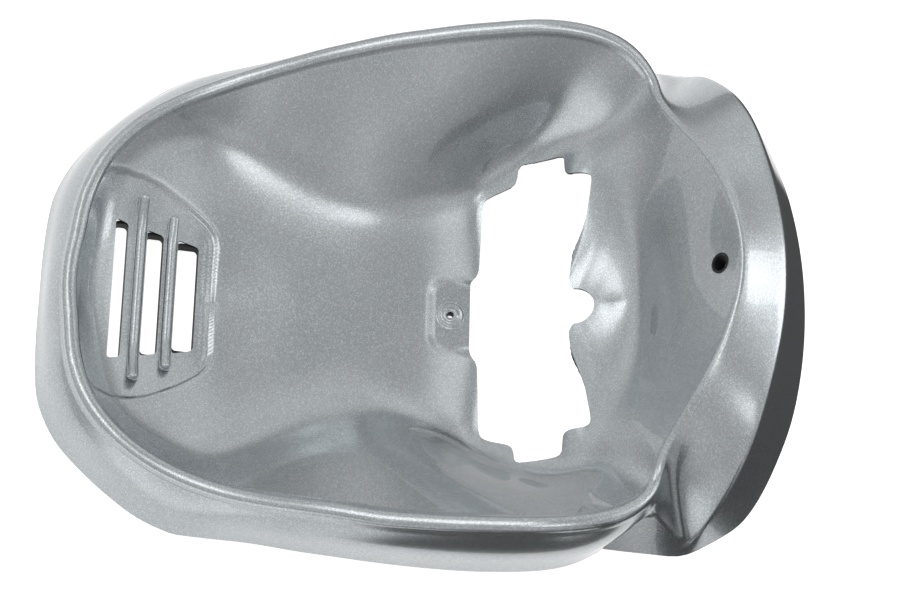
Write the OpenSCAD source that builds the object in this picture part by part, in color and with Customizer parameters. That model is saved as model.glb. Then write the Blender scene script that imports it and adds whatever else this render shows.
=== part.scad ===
// Scooter front panel: the one-piece moulded leg shield, basin side up.
// It lies on the nose end of its skirt and on the underside of the basin floor.
// X runs from the nose to the hood, Y across the panel, Z up from the table.
// The shell is a loft through guide curves. Each half has 39 stations from the nose to the hood,
// and at each one a row of points runs from the lower edge, over the rim, to the centre line.

/* [Overall size] */
// Length from the nose edge to the hood edge, mm
panel_length = 579.5; // [500:0.5:650]
// Width across the skirt at its widest, mm
panel_width = 432.6; // [380:0.2:480]
// Height of the ridge above the table, mm
panel_height = 148; // [130:1:170]

/* [Wall and rim] */
// Thickness of the moulded wall, mm
wall = 2.5; // [2.2:0.1:3]
// Radius of the rolled rim at the nose, mm
bead_nose = 6; // [5:0.5:7]
// Radius of the rolled rim along the sides, mm
bead_side = 7; // [5.5:0.5:8]
// Radius of the ridge over the hood, mm
bead_hood = 4; // [3:0.5:6]
// How far the sharp outer edge of the hood is rounded, mm
crease_round = 3; // [2:0.5:5]
// How far the hood bulges between the ridge and its outer edge, mm
hood_bulge = 3.5; // [0:0.5:6]
// How far the skirt bulges between the rim and the lower edge, mm
skirt_bulge = 3.5; // [0:0.5:5]

/* [Cut-out] */
// Left edge of the large cut-out, mm from the middle
cut_left = 50; // [44:0.5:56]
// Right edge of the large cut-out at its shoulders, mm from the middle
cut_right = 130.5; // [124:0.5:136]
// Half width of the cut-out at its left edge, mm
cut_half = 102; // [96:0.5:108]
// Half width of the cut-out at its end notches, mm
notch_half = 124.5; // [118:0.5:128]
// Half width of the cut-out at its right shoulders, mm
shoulder_half = 105.5; // [100:0.5:110]
// Radius of the key notch in the right edge, mm
key_r = 14.5; // [12:0.5:16]
// Centre of the key notch, mm from the middle
key_x = 120; // [116:0.5:124]

/* [Grille] */
// Slope of the grille, degrees down towards the middle
grille_tilt = 9.9; // [6:0.1:14]
// Middle of the grille along X, mm
grille_x = -199.5; // [-205:0.5:-190]
// Height of the grille face at its middle, mm
grille_z = 17; // [14:0.5:20]
// Depth of the slot walls behind the face, mm
collar_depth = 9; // [4:0.5:11]
// Thickness of the slot walls, mm
collar_wall = 2.5; // [2:0.5:4]
// Radius of the slot corners, mm
slot_corner = 2.5; // [1:0.5:4]
// Radius of the two grille ribs, mm
rib_r = 3.8; // [3:0.1:5]
// Height of the ribs' middle lines over the grille face, mm
rib_rise = 1.6; // [0:0.1:2.5]
// Depth of the pocket around the grille, mm
pocket_step = 1.6; // [0.8:0.1:2.2]

/* [Screw seat and lip hole] */
// Position of the screw along X, mm
screw_x = 28; // [24:0.5:32]
// Radius of the screw hole, mm
screw_r = 2.6; // [2:0.1:3.5]
// Radius of the raised button around the screw, mm
button_r = 10; // [8:0.5:12]
// Height of the screw recess floor above the table, mm
seat_z = 7; // [6:0.1:8]
// Radius of the hole in the lip under the ridge, mm
lip_hole_r = 6.3; // [5:0.1:8]
// Position of the lip hole along X, mm
lip_hole_x = 215; // [208:0.5:220]
// Height of the lip hole, mm
lip_hole_z = 133; // [125:0.5:138]
// Slope of the wall at the lip hole, degrees from level
lip_hole_tilt = 50; // [40:1:65]

/* [Hidden] */
$fn = 48;
nominal = [579.5, 432.6, 148];
grow = [panel_length / nominal[0], panel_width / nominal[1], panel_height / nominal[2]];
shift_x = -2.75;

// Rim crest, nose to hood, drawn on a panel of the nominal size.
rim = [[-262.5, 0, 48], [-261.5, 18, 48], [-259, 37, 48], [-256.5, 57, 48.5], [-251.5, 77, 49],
    [-244, 95, 50], [-232, 113, 50.5], [-217.5, 128.5, 51], [-200, 142, 51], [-180, 153.6, 51.7],
    [-157, 163.6, 54], [-130, 172.6, 59.5], [-104, 179, 67], [-78, 184.4, 75.5], [-52, 189.2, 82.2],
    [-26, 194.2, 87.5], [0, 197.2, 93], [26, 199.6, 99], [52, 201, 104.5], [78, 202, 109.8],
    [100, 201.3, 112.4], [118, 199, 112.8], [134, 195.2, 112], [147, 189.8, 110.3], [158, 182.2, 107.5],
    [166, 173.6, 104.5], [168.3, 170.4, 103.6], [172.6, 161.5, 102.8], [175, 152.5, 104.5],
    [177.8, 143.5, 108], [182.3, 134, 112], [187.8, 124.5, 116.8], [194.3, 113, 123], [201.8, 100, 129.7],
    [209.5, 85.5, 136], [217.3, 68.5, 141], [224, 49, 144.8], [229.3, 27, 147.2], [231.8, 0, 148]];
// Lower edge of the skirt, then of the hood.
base = [[-287, 0, 0], [-287, 24, 0], [-286.3, 48, 0], [-284.5, 71, 0.2], [-280, 91, 0.7],
    [-269.5, 113, 2], [-255, 131.5, 3.5], [-238.5, 148, 5.5], [-220, 164, 7.5], [-199, 179, 10],
    [-174, 190.4, 12.8], [-146, 193.6, 15.9], [-116, 196.8, 19.4], [-88, 201.5, 22.6], [-60, 205.5, 25.7],
    [-32, 209.4, 29], [-4, 212.6, 32.1], [24, 215, 35.3], [50, 216.3, 38.3], [74, 216.2, 41],
    [94, 215, 43.3], [106, 213.2, 44.6], [116, 210.7, 45.7], [124, 207.6, 46.6], [131, 204, 47.5],
    [137, 200.6, 48.2], [139, 197.2, 48.2], [159, 198.6, 47.8], [180, 199.6, 47], [198, 199.5, 46.5],
    [214, 194.3, 52], [229, 186, 56.5], [243, 175, 60], [257, 154, 62], [269, 128, 63.2],
    [279.5, 99, 64.4], [286.8, 67, 65.3], [291, 35, 65.8], [292.5, 0, 66]];
// Outer edge of the hood, from the station where the hood leaves the skirt.
hood_from = 26;
crease = [[173, 179.5, 86], [181, 184, 76.5], [191, 188, 67], [201.5, 191.5, 58.5], [212.5, 185.5, 74],
    [222, 173, 91], [231.5, 156, 107.5], [240, 137, 119.5], [247, 116, 127], [253.5, 91, 131.2],
    [259.5, 64, 133.5], [264, 35, 134.8], [266, 0, 135]];
// Half way down the basin wall.
wall_mid = [[-247, 0, 31], [-246.5, 17, 31], [-244, 35.5, 31], [-241, 54, 32], [-235.5, 72, 34],
    [-227, 89, 36], [-216, 105.5, 37.5], [-203, 120, 38], [-187, 132.5, 38], [-168, 141, 36.5],
    [-146, 144, 36], [-123, 142, 38], [-99, 140, 43], [-76, 136, 47], [-53, 133, 50],
    [-30, 133, 52], [-8, 138, 54], [14, 144, 57], [38, 150, 60], [61, 156, 64],
    [81, 162, 69], [98, 165, 74], [112, 165, 78], [124, 161, 80], [134, 156, 81],
    [141.5, 150.5, 80], [144, 148, 80], [149, 142, 80.5], [153, 135, 82], [156.5, 127, 84],
    [161, 119, 86], [166, 110, 88], [172, 98, 90], [177, 86.5, 91.5], [181, 73, 92.5],
    [184, 57.5, 93], [186, 39.5, 93], [187.5, 20, 93], [188, 0, 93]];
// Foot of the basin wall.
foot = [[-236, 0, 24], [-235.5, 17, 24], [-233.5, 34, 24], [-229.5, 51, 24.5], [-223, 68, 27],
    [-214, 83, 29], [-203, 97, 29.5], [-191, 109, 28.5], [-176, 119, 26], [-158, 123, 23],
    [-138, 119, 20.5], [-116, 109, 18.5], [-94, 97, 17], [-74, 86, 16], [-54, 78, 15],
    [-35, 75, 14], [-16, 77, 12.5], [4, 83, 10.5], [25, 93, 7.5], [47, 104, 3.8],
    [64, 114, 13], [79, 126, 22], [91, 130, 29.5], [102, 131, 37], [111, 130, 44],
    [118, 127.5, 49.5], [120, 126.3, 51], [125, 122.5, 55], [130, 117, 58.5], [134.5, 111, 61],
    [139, 104, 62.3], [144.5, 95, 62.3], [150, 84.5, 61.5], [155, 73, 60], [159.5, 60, 58.6],
    [163, 46, 57.5], [166, 30, 56.6], [167.5, 15, 56.1], [168, 0, 56]];
// Centre line of the floor, one x for each station, and the heights along it.
spine_x = [-150, -149, -146, -141, -134, -126, -117, -107, -97, -86, -75, -63, -50, -37, -24, -11, 2, 15,
    28, 40, 52, 63, 73, 82, 90, 97, 99, 103, 107, 111, 115, 119, 123, 127, 131, 135, 139, 143, 146.5];
spine_z = [[-150, 8.6], [-141, 8.8], [-117, 9.8], [-88, 10.8], [-30, 10.8], [6, 10.4], [12, 9.8], [28, 7.2],
    [44, 3.6], [52, 2.7], [80, 19], [110, 34], [134, 44], [168, 56]];
// Height of the floor half way from the foot to the centre line, up to the cut-out.
mid_z = [[0, 16.2], [1, 16], [2, 15.6], [3, 14.8], [4, 13.8], [5, 12.6], [6, 11.6], [7, 11], [14, 11],
    [16, 10.6], [17, 10], [18, 7.4], [19, 3.7]];

// Extra height of that middle where the pad beside the cut-out stands up, for each station.
mid_lift = [[23, 0], [24, 12], [25, 39], [26, 38], [27, 34], [28, 22], [29, 6], [30, 0]];

stations = len(rim);
bead_r = [for (k = [0:stations - 1]) lookup(k, [[0, bead_nose], [8, bead_nose + 0.5], [14, bead_side],
    [22, bead_side], [29, bead_hood], [38, bead_hood]])];
// How far round the rim its rounding goes, in degrees from straight up, outside and inside.
bead_out = [for (k = [0:stations - 1]) lookup(k, [[0, 92], [24, 92], [26, 80], [27, 62], [28, 46], [29, 40],
    [30, 30], [31, 21], [32, 13], [33, 9], [35, 10], [38, 16]])];
bead_in = [for (k = [0:stations - 1]) lookup(k, [[0, 70], [24, 68], [28, 62], [38, 56]])];

function sized(p) = [p[0] * grow[0] + shift_x, p[1] * grow[1], p[2] * grow[2]];
function unit(v) = v / norm(v);
function along(k) = k == 0 ? [0, 1, 0] : k == stations - 1 ? [0, -1, 0] :
    unit([rim[k + 1][0] - rim[k - 1][0], rim[k + 1][1] - rim[k - 1][1], 0]);
function outward(k) = [-along(k)[1], along(k)[0], 0];
function on_bead(k, a) = sized(rim[k]) + outward(k) * bead_r[k] * sin(a) + [0, 0, bead_r[k] * (cos(a) - 1)];
// A curve through b and c that never swings past them, with a and d as its neighbours.
function lean(u, v) = u * v > 0 ? 2 * u * v / (u + v) : 0;
function ease(a, b, c, d, t) = let (m = lean(b - a, c - b), n = lean(c - b, d - c))
    (2 * pow(t, 3) - 3 * t * t + 1) * b + (pow(t, 3) - 2 * t * t + t) * m
    + (3 * t * t - 2 * pow(t, 3)) * c + (pow(t, 3) - t * t) * n;
function curve(a, b, c, d, t) = [for (i = [0:2]) ease(a[i], b[i], c[i], d[i], t)];
function spine(k) = sized([spine_x[k], 0, lookup(spine_x[k], spine_z)]);
function floor_mid(k) = let (f = sized(foot[k]), s = spine(k))
    [(f[0] + s[0]) / 2, f[1] / 2, k < 20 ? lookup(k, mid_z) * grow[2]
        : 0.25 * f[2] + 0.75 * s[2] + lookup(k, mid_lift) * grow[2]];

// The outer side of a station: lower edge, skirt or hood, up to the foot of the rim.
function outer_skirt(k) = let (b = sized(base[k]), v = on_bead(k, bead_out[k]), o = outward(k))
    [b, 0.7 * b + 0.3 * v + o * skirt_bulge * 0.5, 0.42 * b + 0.58 * v + o * skirt_bulge,
     0.22 * b + 0.78 * v + o * skirt_bulge * 0.85, 0.1 * b + 0.9 * v + o * skirt_bulge * 0.5,
     0.02 * b + 0.98 * v + o * skirt_bulge * 0.1, v];
function outer_hood(k) = let (b = sized(base[k]), c = sized(crease[k - hood_from]), v = on_bead(k, bead_out[k]),
    down = unit(b - c), up = unit(v - c), r = min(crease_round, norm(v - c) / 3))
    [b, (b + c) / 2, c + down * r, c + up * r, c + (v - c) * 0.4 + [0, 0, hood_bulge * norm(v - c) / 45],
     c + (v - c) * 0.75 + [0, 0, hood_bulge * norm(v - c) / 70], v];
function station(k) = let (i = on_bead(k, -bead_in[k]), w = sized(wall_mid[k]), f = sized(foot[k]),
    g = floor_mid(k), s = spine(k), above = i * 1.0 + (i - w) * 0.6)
    concat(k < hood_from ? outer_skirt(k) : outer_hood(k),
        [on_bead(k, bead_out[k] * 0.5), on_bead(k, 0), on_bead(k, -bead_in[k] * 0.5), i,
         curve(above, i, w, f, 0.35), curve(above, i, w, f, 0.7), w, curve(i, w, f, g, 0.4),
         curve(i, w, f, g, 0.75), f, curve(w, f, g, s, 0.3), curve(w, f, g, s, 0.65), g, s]);

half = [for (k = [0:stations - 1]) station(k)];
rows = len(half[0]);
sectors = 2 * (stations - 1);
function st(m) = let (n = (m + sectors) % sectors) n < stations ? n : sectors - n;
function side(m) = let (n = (m + sectors) % sectors) n < stations ? 1 : -1;
function front(m, j) = let (p = half[st(m)][j]) [p[0], p[1] * side(m), p[2]];
function slope(m, j) = let (t = front(m + 1, j) - front(m - 1, j),
    r = front(m, min(j + 1, rows - 1)) - front(m, max(j - 1, 0))) unit(cross(r, t));
function spine_slope(k) = let (a = spine(max(k - 1, 0)), b = spine(min(k + 1, stations - 1)))
    unit([a[2] - b[2], 0, b[0] - a[0]]);

ring = rows - 1;
front_points = concat([for (m = [0:sectors - 1]) for (j = [0:ring - 1]) front(m, j)],
    [for (k = [0:stations - 1]) spine(k)]);
function inward(m, j) = let (n = slope(m, j)) j == 0 ? unit([n[0], n[1], 0]) : n;
back_points = concat([for (m = [0:sectors - 1]) for (j = [0:ring - 1]) front(m, j) - inward(m, j) * wall],
    [for (k = [0:stations - 1]) spine(k) - spine_slope(k) * wall]);
count = len(front_points);
function at(m, j) = j == ring ? sectors * ring + st(m) : ((m + sectors) % sectors) * ring + j;
function split(q, pts) = norm(pts[q[0]] - pts[q[2]]) <= norm(pts[q[1]] - pts[q[3]])
    ? [[q[0], q[1], q[2]], [q[0], q[2], q[3]]] : [[q[0], q[1], q[3]], [q[1], q[2], q[3]]];
front_faces = [for (m = [0:sectors - 1]) for (j = [0:ring - 1])
    each split([at(m, j), at(m + 1, j), at(m + 1, j + 1), at(m, j + 1)], front_points)];
back_faces = [for (f = front_faces) [f[2] + count, f[1] + count, f[0] + count]];
edge_faces = [for (m = [0:sectors - 1]) each [[at(m + 1, 0), at(m, 0), at(m, 0) + count],
    [at(m + 1, 0), at(m, 0) + count, at(m + 1, 0) + count]]];

// The large cut-out, as one half of its outline.
cut_outline = [[cut_left - 7, 0], [cut_left - 7, 27], [cut_left - 5, 32], [cut_left - 1.5, 36], [cut_left, 44],
    [cut_left + 1.5, cut_half - 9], [cut_left + 4.5, cut_half - 2.5], [cut_left + 10, cut_half + 1],
    [cut_left + 24, cut_half + 6], [cut_left + 27, cut_half + 11], [cut_left + 27.5, notch_half - 4],
    [cut_left + 30, notch_half - 1], [cut_left + 45, notch_half], [cut_left + 57, notch_half],
    [cut_left + 60.5, notch_half - 3], [cut_left + 61, shoulder_half + 4], [cut_left + 64, shoulder_half + 1],
    [cut_right - 5, shoulder_half - 0.5], [cut_right - 1, shoulder_half - 3], [cut_right, shoulder_half - 7],
    [cut_right - 1, 87], [cut_right - 3.5, 68], [cut_right - 7, 57], [cut_right - 12, 42],
    [cut_right - 14.5, 24], [cut_right - 13, 18.5]];

module mirrored_cut(h) {
    linear_extrude(height = h) scale([grow[0], grow[1]])
        polygon(concat(cut_outline, [for (i = [len(cut_outline) - 1:-1:1]) [cut_outline[i][0], -cut_outline[i][1]]]));
}

module slot_shape(w, h, r) {
    square([w - 2 * r, h], center = true);
    square([w, h - 2 * r], center = true);
    for (sx = [-1, 1], sy = [-1, 1]) translate([sx * (w / 2 - r), sy * (h / 2 - r)]) circle(r = r);
}

// Each slot: its middle from the middle of the grille, its width and its full length.
slots = [[-27.6, 9.6, 113], [-1.4, 12.8, 101], [24.4, 16.2, 90]];
// Each rib: its middle, its half length that is straight and in all, and the climb of its ends.
ribs = [[-12.9, 52, 73, 8.5], [11.3, 46, 62, 5]];

// The grille keeps its place on the nose slope when the panel grows or shrinks.
module on_grille() {
    translate([grille_x * grow[0] + shift_x, 0, grille_z * grow[2]])
        rotate([0, atan(tan(grille_tilt) * grow[2] / grow[0]), 0]) children();
}

// One half of the pocket's outline, drawn on a panel of the nominal size.
pocket = [[-154.2, 0], [-154, 30], [-153.7, 46], [-156, 54], [-162, 63], [-176, 73.5], [-190, 82.2],
    [-200, 87.6], [-212, 91.6], [-226, 93.3], [-236, 91], [-244, 83], [-246, 72], [-246.5, 56], [-247, 36],
    [-247, 0]];

module pocket_area(h, grown) {
    translate([shift_x, 0, -h / 2]) linear_extrude(height = h) offset(delta = grown) scale([grow[0], grow[1]])
        polygon(concat(pocket, [for (i = [len(pocket) - 2:-1:1]) [pocket[i][0], -pocket[i][1]]]));
}

// A slab that follows the basin around the grille, from low to high above its face.
patch_reach = 14;
patch_row = 13;
patch_cols = [for (m = [-patch_reach:patch_reach]) m];
patch_rows = ring - patch_row;
function patch(z) = concat([for (m = patch_cols) for (j = [patch_row:ring - 1]) front(m, j) + [0, 0, z]],
    [for (k = [0:patch_reach]) spine(k) + [0, 0, z]]);
function in_patch(m, j) = j == ring ? len(patch_cols) * patch_rows + abs(m)
    : (m + patch_reach) * patch_rows + j - patch_row;

module basin_slab(low, high) {
    top = patch(high);
    bottom = patch(low);
    n = len(top);
    sheet = [for (m = [-patch_reach:patch_reach - 1]) for (j = [patch_row:ring - 1])
        each split([in_patch(m, j), in_patch(m + 1, j), in_patch(m + 1, j + 1), in_patch(m, j + 1)], top)];
    border = concat([for (m = [-patch_reach:patch_reach - 1]) [in_patch(m, patch_row), in_patch(m + 1, patch_row)]],
        [for (j = [patch_row:ring - 1]) [in_patch(patch_reach, j), in_patch(patch_reach, j + 1)]],
        [for (j = [ring:-1:patch_row + 1]) [in_patch(-patch_reach, j), in_patch(-patch_reach, j - 1)]]);
    polyhedron(points = concat(top, bottom), faces = concat(sheet, [for (f = sheet) [f[2] + n, f[1] + n, f[0] + n]],
        [for (e = border) each [[e[1], e[0], e[0] + n], [e[1], e[0] + n, e[1] + n]]]), convexity = 8);
}

module slot_walls() {
    for (s = slots) translate([s[0] * grow[0], 0, -collar_depth])
        linear_extrude(height = collar_depth - pocket_step - 0.6)
        slot_shape(s[1] * grow[0] + 2 * collar_wall, s[2] * grow[1] + 2 * collar_wall, slot_corner + 1);
}

module slot_cuts() {
    for (s = slots) translate([s[0] * grow[0], 0, -40]) linear_extrude(height = 80)
        slot_shape(s[1] * grow[0], s[2] * grow[1], slot_corner);
}

// One length of rib: a half round bar on a web that reaches down into the wall of the pocket.
module rib_bar(h) {
    web = rib_rise + pocket_step + wall / 2;
    cylinder(r = rib_r, h = h);
    translate([-0.9 * rib_r, 0, 0]) cube([1.8 * rib_r, web, h]);
}

// A rib is a straight bar whose two ends climb with the floor.
module rib(flat, full, climb) {
    $fn = 12;
    a = atan2(climb, full - flat);
    for (s = [0, 1]) mirror([0, s, 0]) {
        translate([0, -0.5, 0]) rotate([-90, 0, 0]) rib_bar(flat + 0.5);
        translate([0, flat, 0]) {
            sphere(r = rib_r);
            rotate([a - 90, 0, 0]) rib_bar((full - flat) / cos(a));
            translate([0, full - flat, climb]) sphere(r = rib_r);
        }
    }
}

module shell() {
    polyhedron(points = concat(front_points, back_points),
        faces = concat(front_faces, back_faces, edge_faces), convexity = 12);
}

// The screw's place and its recess floor follow the size of the panel.
screw_at = screw_x * grow[0] + shift_x;
seat_top = seat_z * grow[2];
seat_half = 30;
seat_back = 20;

// The recess around the screw opens into the cut-out: r rounds its two closed corners.
module seat_shape(grown, r) {
    translate([screw_at, 0]) {
        translate([(r - grown) / 2, 0])
            square([2 * seat_back + grown - r, 2 * seat_half + 2 * grown], center = true);
        translate([-seat_back - grown, -seat_half - grown + r]) square([2 * r, 2 * (seat_half + grown - r)]);
        for (s = [-1, 1]) translate([-seat_back - grown + r, s * (seat_half + grown - r)]) circle(r = r);
    }
}

module screw_seat() {
    translate([0, 0, seat_top - wall]) linear_extrude(height = wall) seat_shape(0, 10);
    intersection() {
        translate([0, 0, seat_top - wall]) linear_extrude(height = wall + 1.2) seat_shape(wall, 12);
        translate([screw_at - 2 * seat_back, -2 * seat_half, 0])
            cube([2 * seat_back - 5, 4 * seat_half, seat_top + 4 * wall]);
    }
    translate([screw_at, 0, 0]) cylinder(r = button_r - wall, h = seat_top - 1);
}

module screw_recess() {
    translate([0, 0, seat_top]) linear_extrude(height = panel_height) seat_shape(0, 10);
}

module front_panel() {
    color([0.72, 0.74, 0.76])
    union() {
        difference() {
            union() {
                difference() {
                    union() {
                        shell();
                        screw_seat();
                        intersection() {
                            basin_slab(-pocket_step - wall, -1);
                            pocket_area(400, wall);
                        }
                    }
                    screw_recess();
                    intersection() {
                        basin_slab(-pocket_step, 12);
                        pocket_area(400, 0);
                    }
                }
                translate([screw_at, 0, seat_top - 1]) cylinder(r = button_r, h = 2);
                translate([screw_at, 0, seat_top - 1]) cylinder(r = button_r - 3, h = 2.8);
                on_grille() slot_walls();
            }
            translate([shift_x, 0, -20]) mirrored_cut(panel_height + 40);
            translate([key_x * grow[0] + shift_x, 0, -20]) cylinder(r = key_r, h = panel_height + 40);
            on_grille() slot_cuts();
            translate([screw_at, 0, -20]) cylinder(r = screw_r, h = 60);
            translate([lip_hole_x * grow[0] + shift_x, 0, lip_hole_z * grow[2]])
                rotate([0, -atan(tan(lip_hole_tilt) * grow[2] / grow[0]), 0])
                    cylinder(r = lip_hole_r, h = 24, center = true);
        }
        on_grille() for (r = ribs) translate([r[0] * grow[0], 0, rib_rise])
            rib(r[1] * grow[1], r[2] * grow[1], r[3] * grow[2]);
    }
}

front_panel();
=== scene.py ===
"""Looks of the scooter front panel: one silver lacquered moulding that lies basin side up.

The panel is drawn again as a fine sheet through the same guide curves as the part's source, scaled
to the CAD box. The sheet is cut, dressed with its small moulded forms and given its wall.
"""

import logging
import math
from dataclasses import dataclass, field
from enum import Enum
from typing import Callable, Iterable

import bmesh
import bpy
import numpy as np
from mathutils import Matrix, Vector


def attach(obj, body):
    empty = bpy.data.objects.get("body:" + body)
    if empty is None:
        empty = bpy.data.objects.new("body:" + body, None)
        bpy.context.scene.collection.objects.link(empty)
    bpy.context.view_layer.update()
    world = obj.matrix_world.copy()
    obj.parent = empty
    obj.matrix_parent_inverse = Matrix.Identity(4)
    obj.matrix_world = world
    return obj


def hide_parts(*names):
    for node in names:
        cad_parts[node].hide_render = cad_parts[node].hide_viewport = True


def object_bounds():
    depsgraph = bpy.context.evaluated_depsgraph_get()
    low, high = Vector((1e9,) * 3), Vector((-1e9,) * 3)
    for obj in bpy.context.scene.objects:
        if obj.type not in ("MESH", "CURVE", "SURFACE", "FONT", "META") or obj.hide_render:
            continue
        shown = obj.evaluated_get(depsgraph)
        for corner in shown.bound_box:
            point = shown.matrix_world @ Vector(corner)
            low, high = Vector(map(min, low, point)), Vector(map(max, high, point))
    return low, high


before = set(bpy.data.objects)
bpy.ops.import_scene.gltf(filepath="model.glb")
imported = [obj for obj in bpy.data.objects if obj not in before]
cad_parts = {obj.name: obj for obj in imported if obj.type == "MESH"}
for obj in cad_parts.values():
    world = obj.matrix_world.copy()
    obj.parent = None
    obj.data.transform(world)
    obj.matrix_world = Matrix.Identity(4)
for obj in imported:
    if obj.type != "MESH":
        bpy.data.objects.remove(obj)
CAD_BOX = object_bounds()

log = logging.getLogger("front_panel")
MM = 0.001
NODE = "front_panel"
TURN_STEPS = 48
MERGE_MM = 1e-4
SEAM_MM = 1e-3

Table = tuple[tuple[float, ...], ...]


class Side(Enum):
    """Which face of the wall a material covers."""

    FRONT = 0
    RAW = 1


def smooth_step(value: np.ndarray | float, low: float, high: float) -> np.ndarray:
    """A ramp from 0 to 1, level at both ends.

    Args:
        value: where the ramp is read.
        low: where it leaves 0.
        high: where it reaches 1.

    Returns:
        The ramp at each value.
    """
    t = np.clip((np.asarray(value, float) - low) / (high - low), 0.0, 1.0)
    return t * t * (3 - 2 * t)


def bell(value: np.ndarray, middle: float, width: float) -> np.ndarray:
    """A soft bump.

    Args:
        value: where the bump is read.
        middle: where it is 1.
        width: how far from its middle it has sunk to about a third.

    Returns:
        The bump at each value.
    """
    return np.exp(-(((value - middle) / width) ** 2))


def cubic(knots: np.ndarray, values: np.ndarray, at: np.ndarray) -> np.ndarray:
    """Draws a natural cubic curve through values.

    Args:
        knots: rising positions of the values.
        values: one row per knot.
        at: positions to read.

    Returns:
        One row per position.
    """
    knots, values = np.asarray(knots, float), np.asarray(values, float)
    if values.ndim == 1:
        return cubic(knots, values[:, None], at)[:, 0]
    n = len(knots)
    gap = np.diff(knots)
    system = np.eye(n)
    right = np.zeros_like(values)
    for k in range(1, n - 1):
        system[k, k - 1 : k + 2] = gap[k - 1], 2 * (gap[k - 1] + gap[k]), gap[k]
        right[k] = 6 * ((values[k + 1] - values[k]) / gap[k] - (values[k] - values[k - 1]) / gap[k - 1])
    bend = np.linalg.solve(system, right)
    k = np.clip(np.searchsorted(knots, at, side="right") - 1, 0, n - 2)
    h, left, over = gap[k][:, None], (at - knots[k])[:, None], (knots[k + 1] - at)[:, None]
    return (
        bend[k] * over**3 / (6 * h)
        + bend[k + 1] * left**3 / (6 * h)
        + (values[k] / h - bend[k] * h / 6) * over
        + (values[k + 1] / h - bend[k + 1] * h / 6) * left
    )


def mirrored_cubic(knots: np.ndarray, values: np.ndarray, at: np.ndarray, reach: int = 4) -> np.ndarray:
    """A cubic through values that runs on as its own mirror image, with y turned over, at both ends.

    Args:
        knots: rising positions of the values.
        values: rows of x, y, z.
        at: positions to read.
        reach: how many mirrored knots are added at each end.

    Returns:
        Rows of x, y, z.
    """
    knots, values = np.asarray(knots, float), np.asarray(values, float)
    flip = np.array([1.0, -1.0, 1.0])
    before, after = slice(reach, 0, -1), slice(-2, -2 - reach, -1)
    longer = np.concatenate([2 * knots[0] - knots[before], knots, 2 * knots[-1] - knots[after]])
    rows = np.concatenate([values[before] * flip, values, values[after] * flip])
    return cubic(longer, rows, at)


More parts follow.
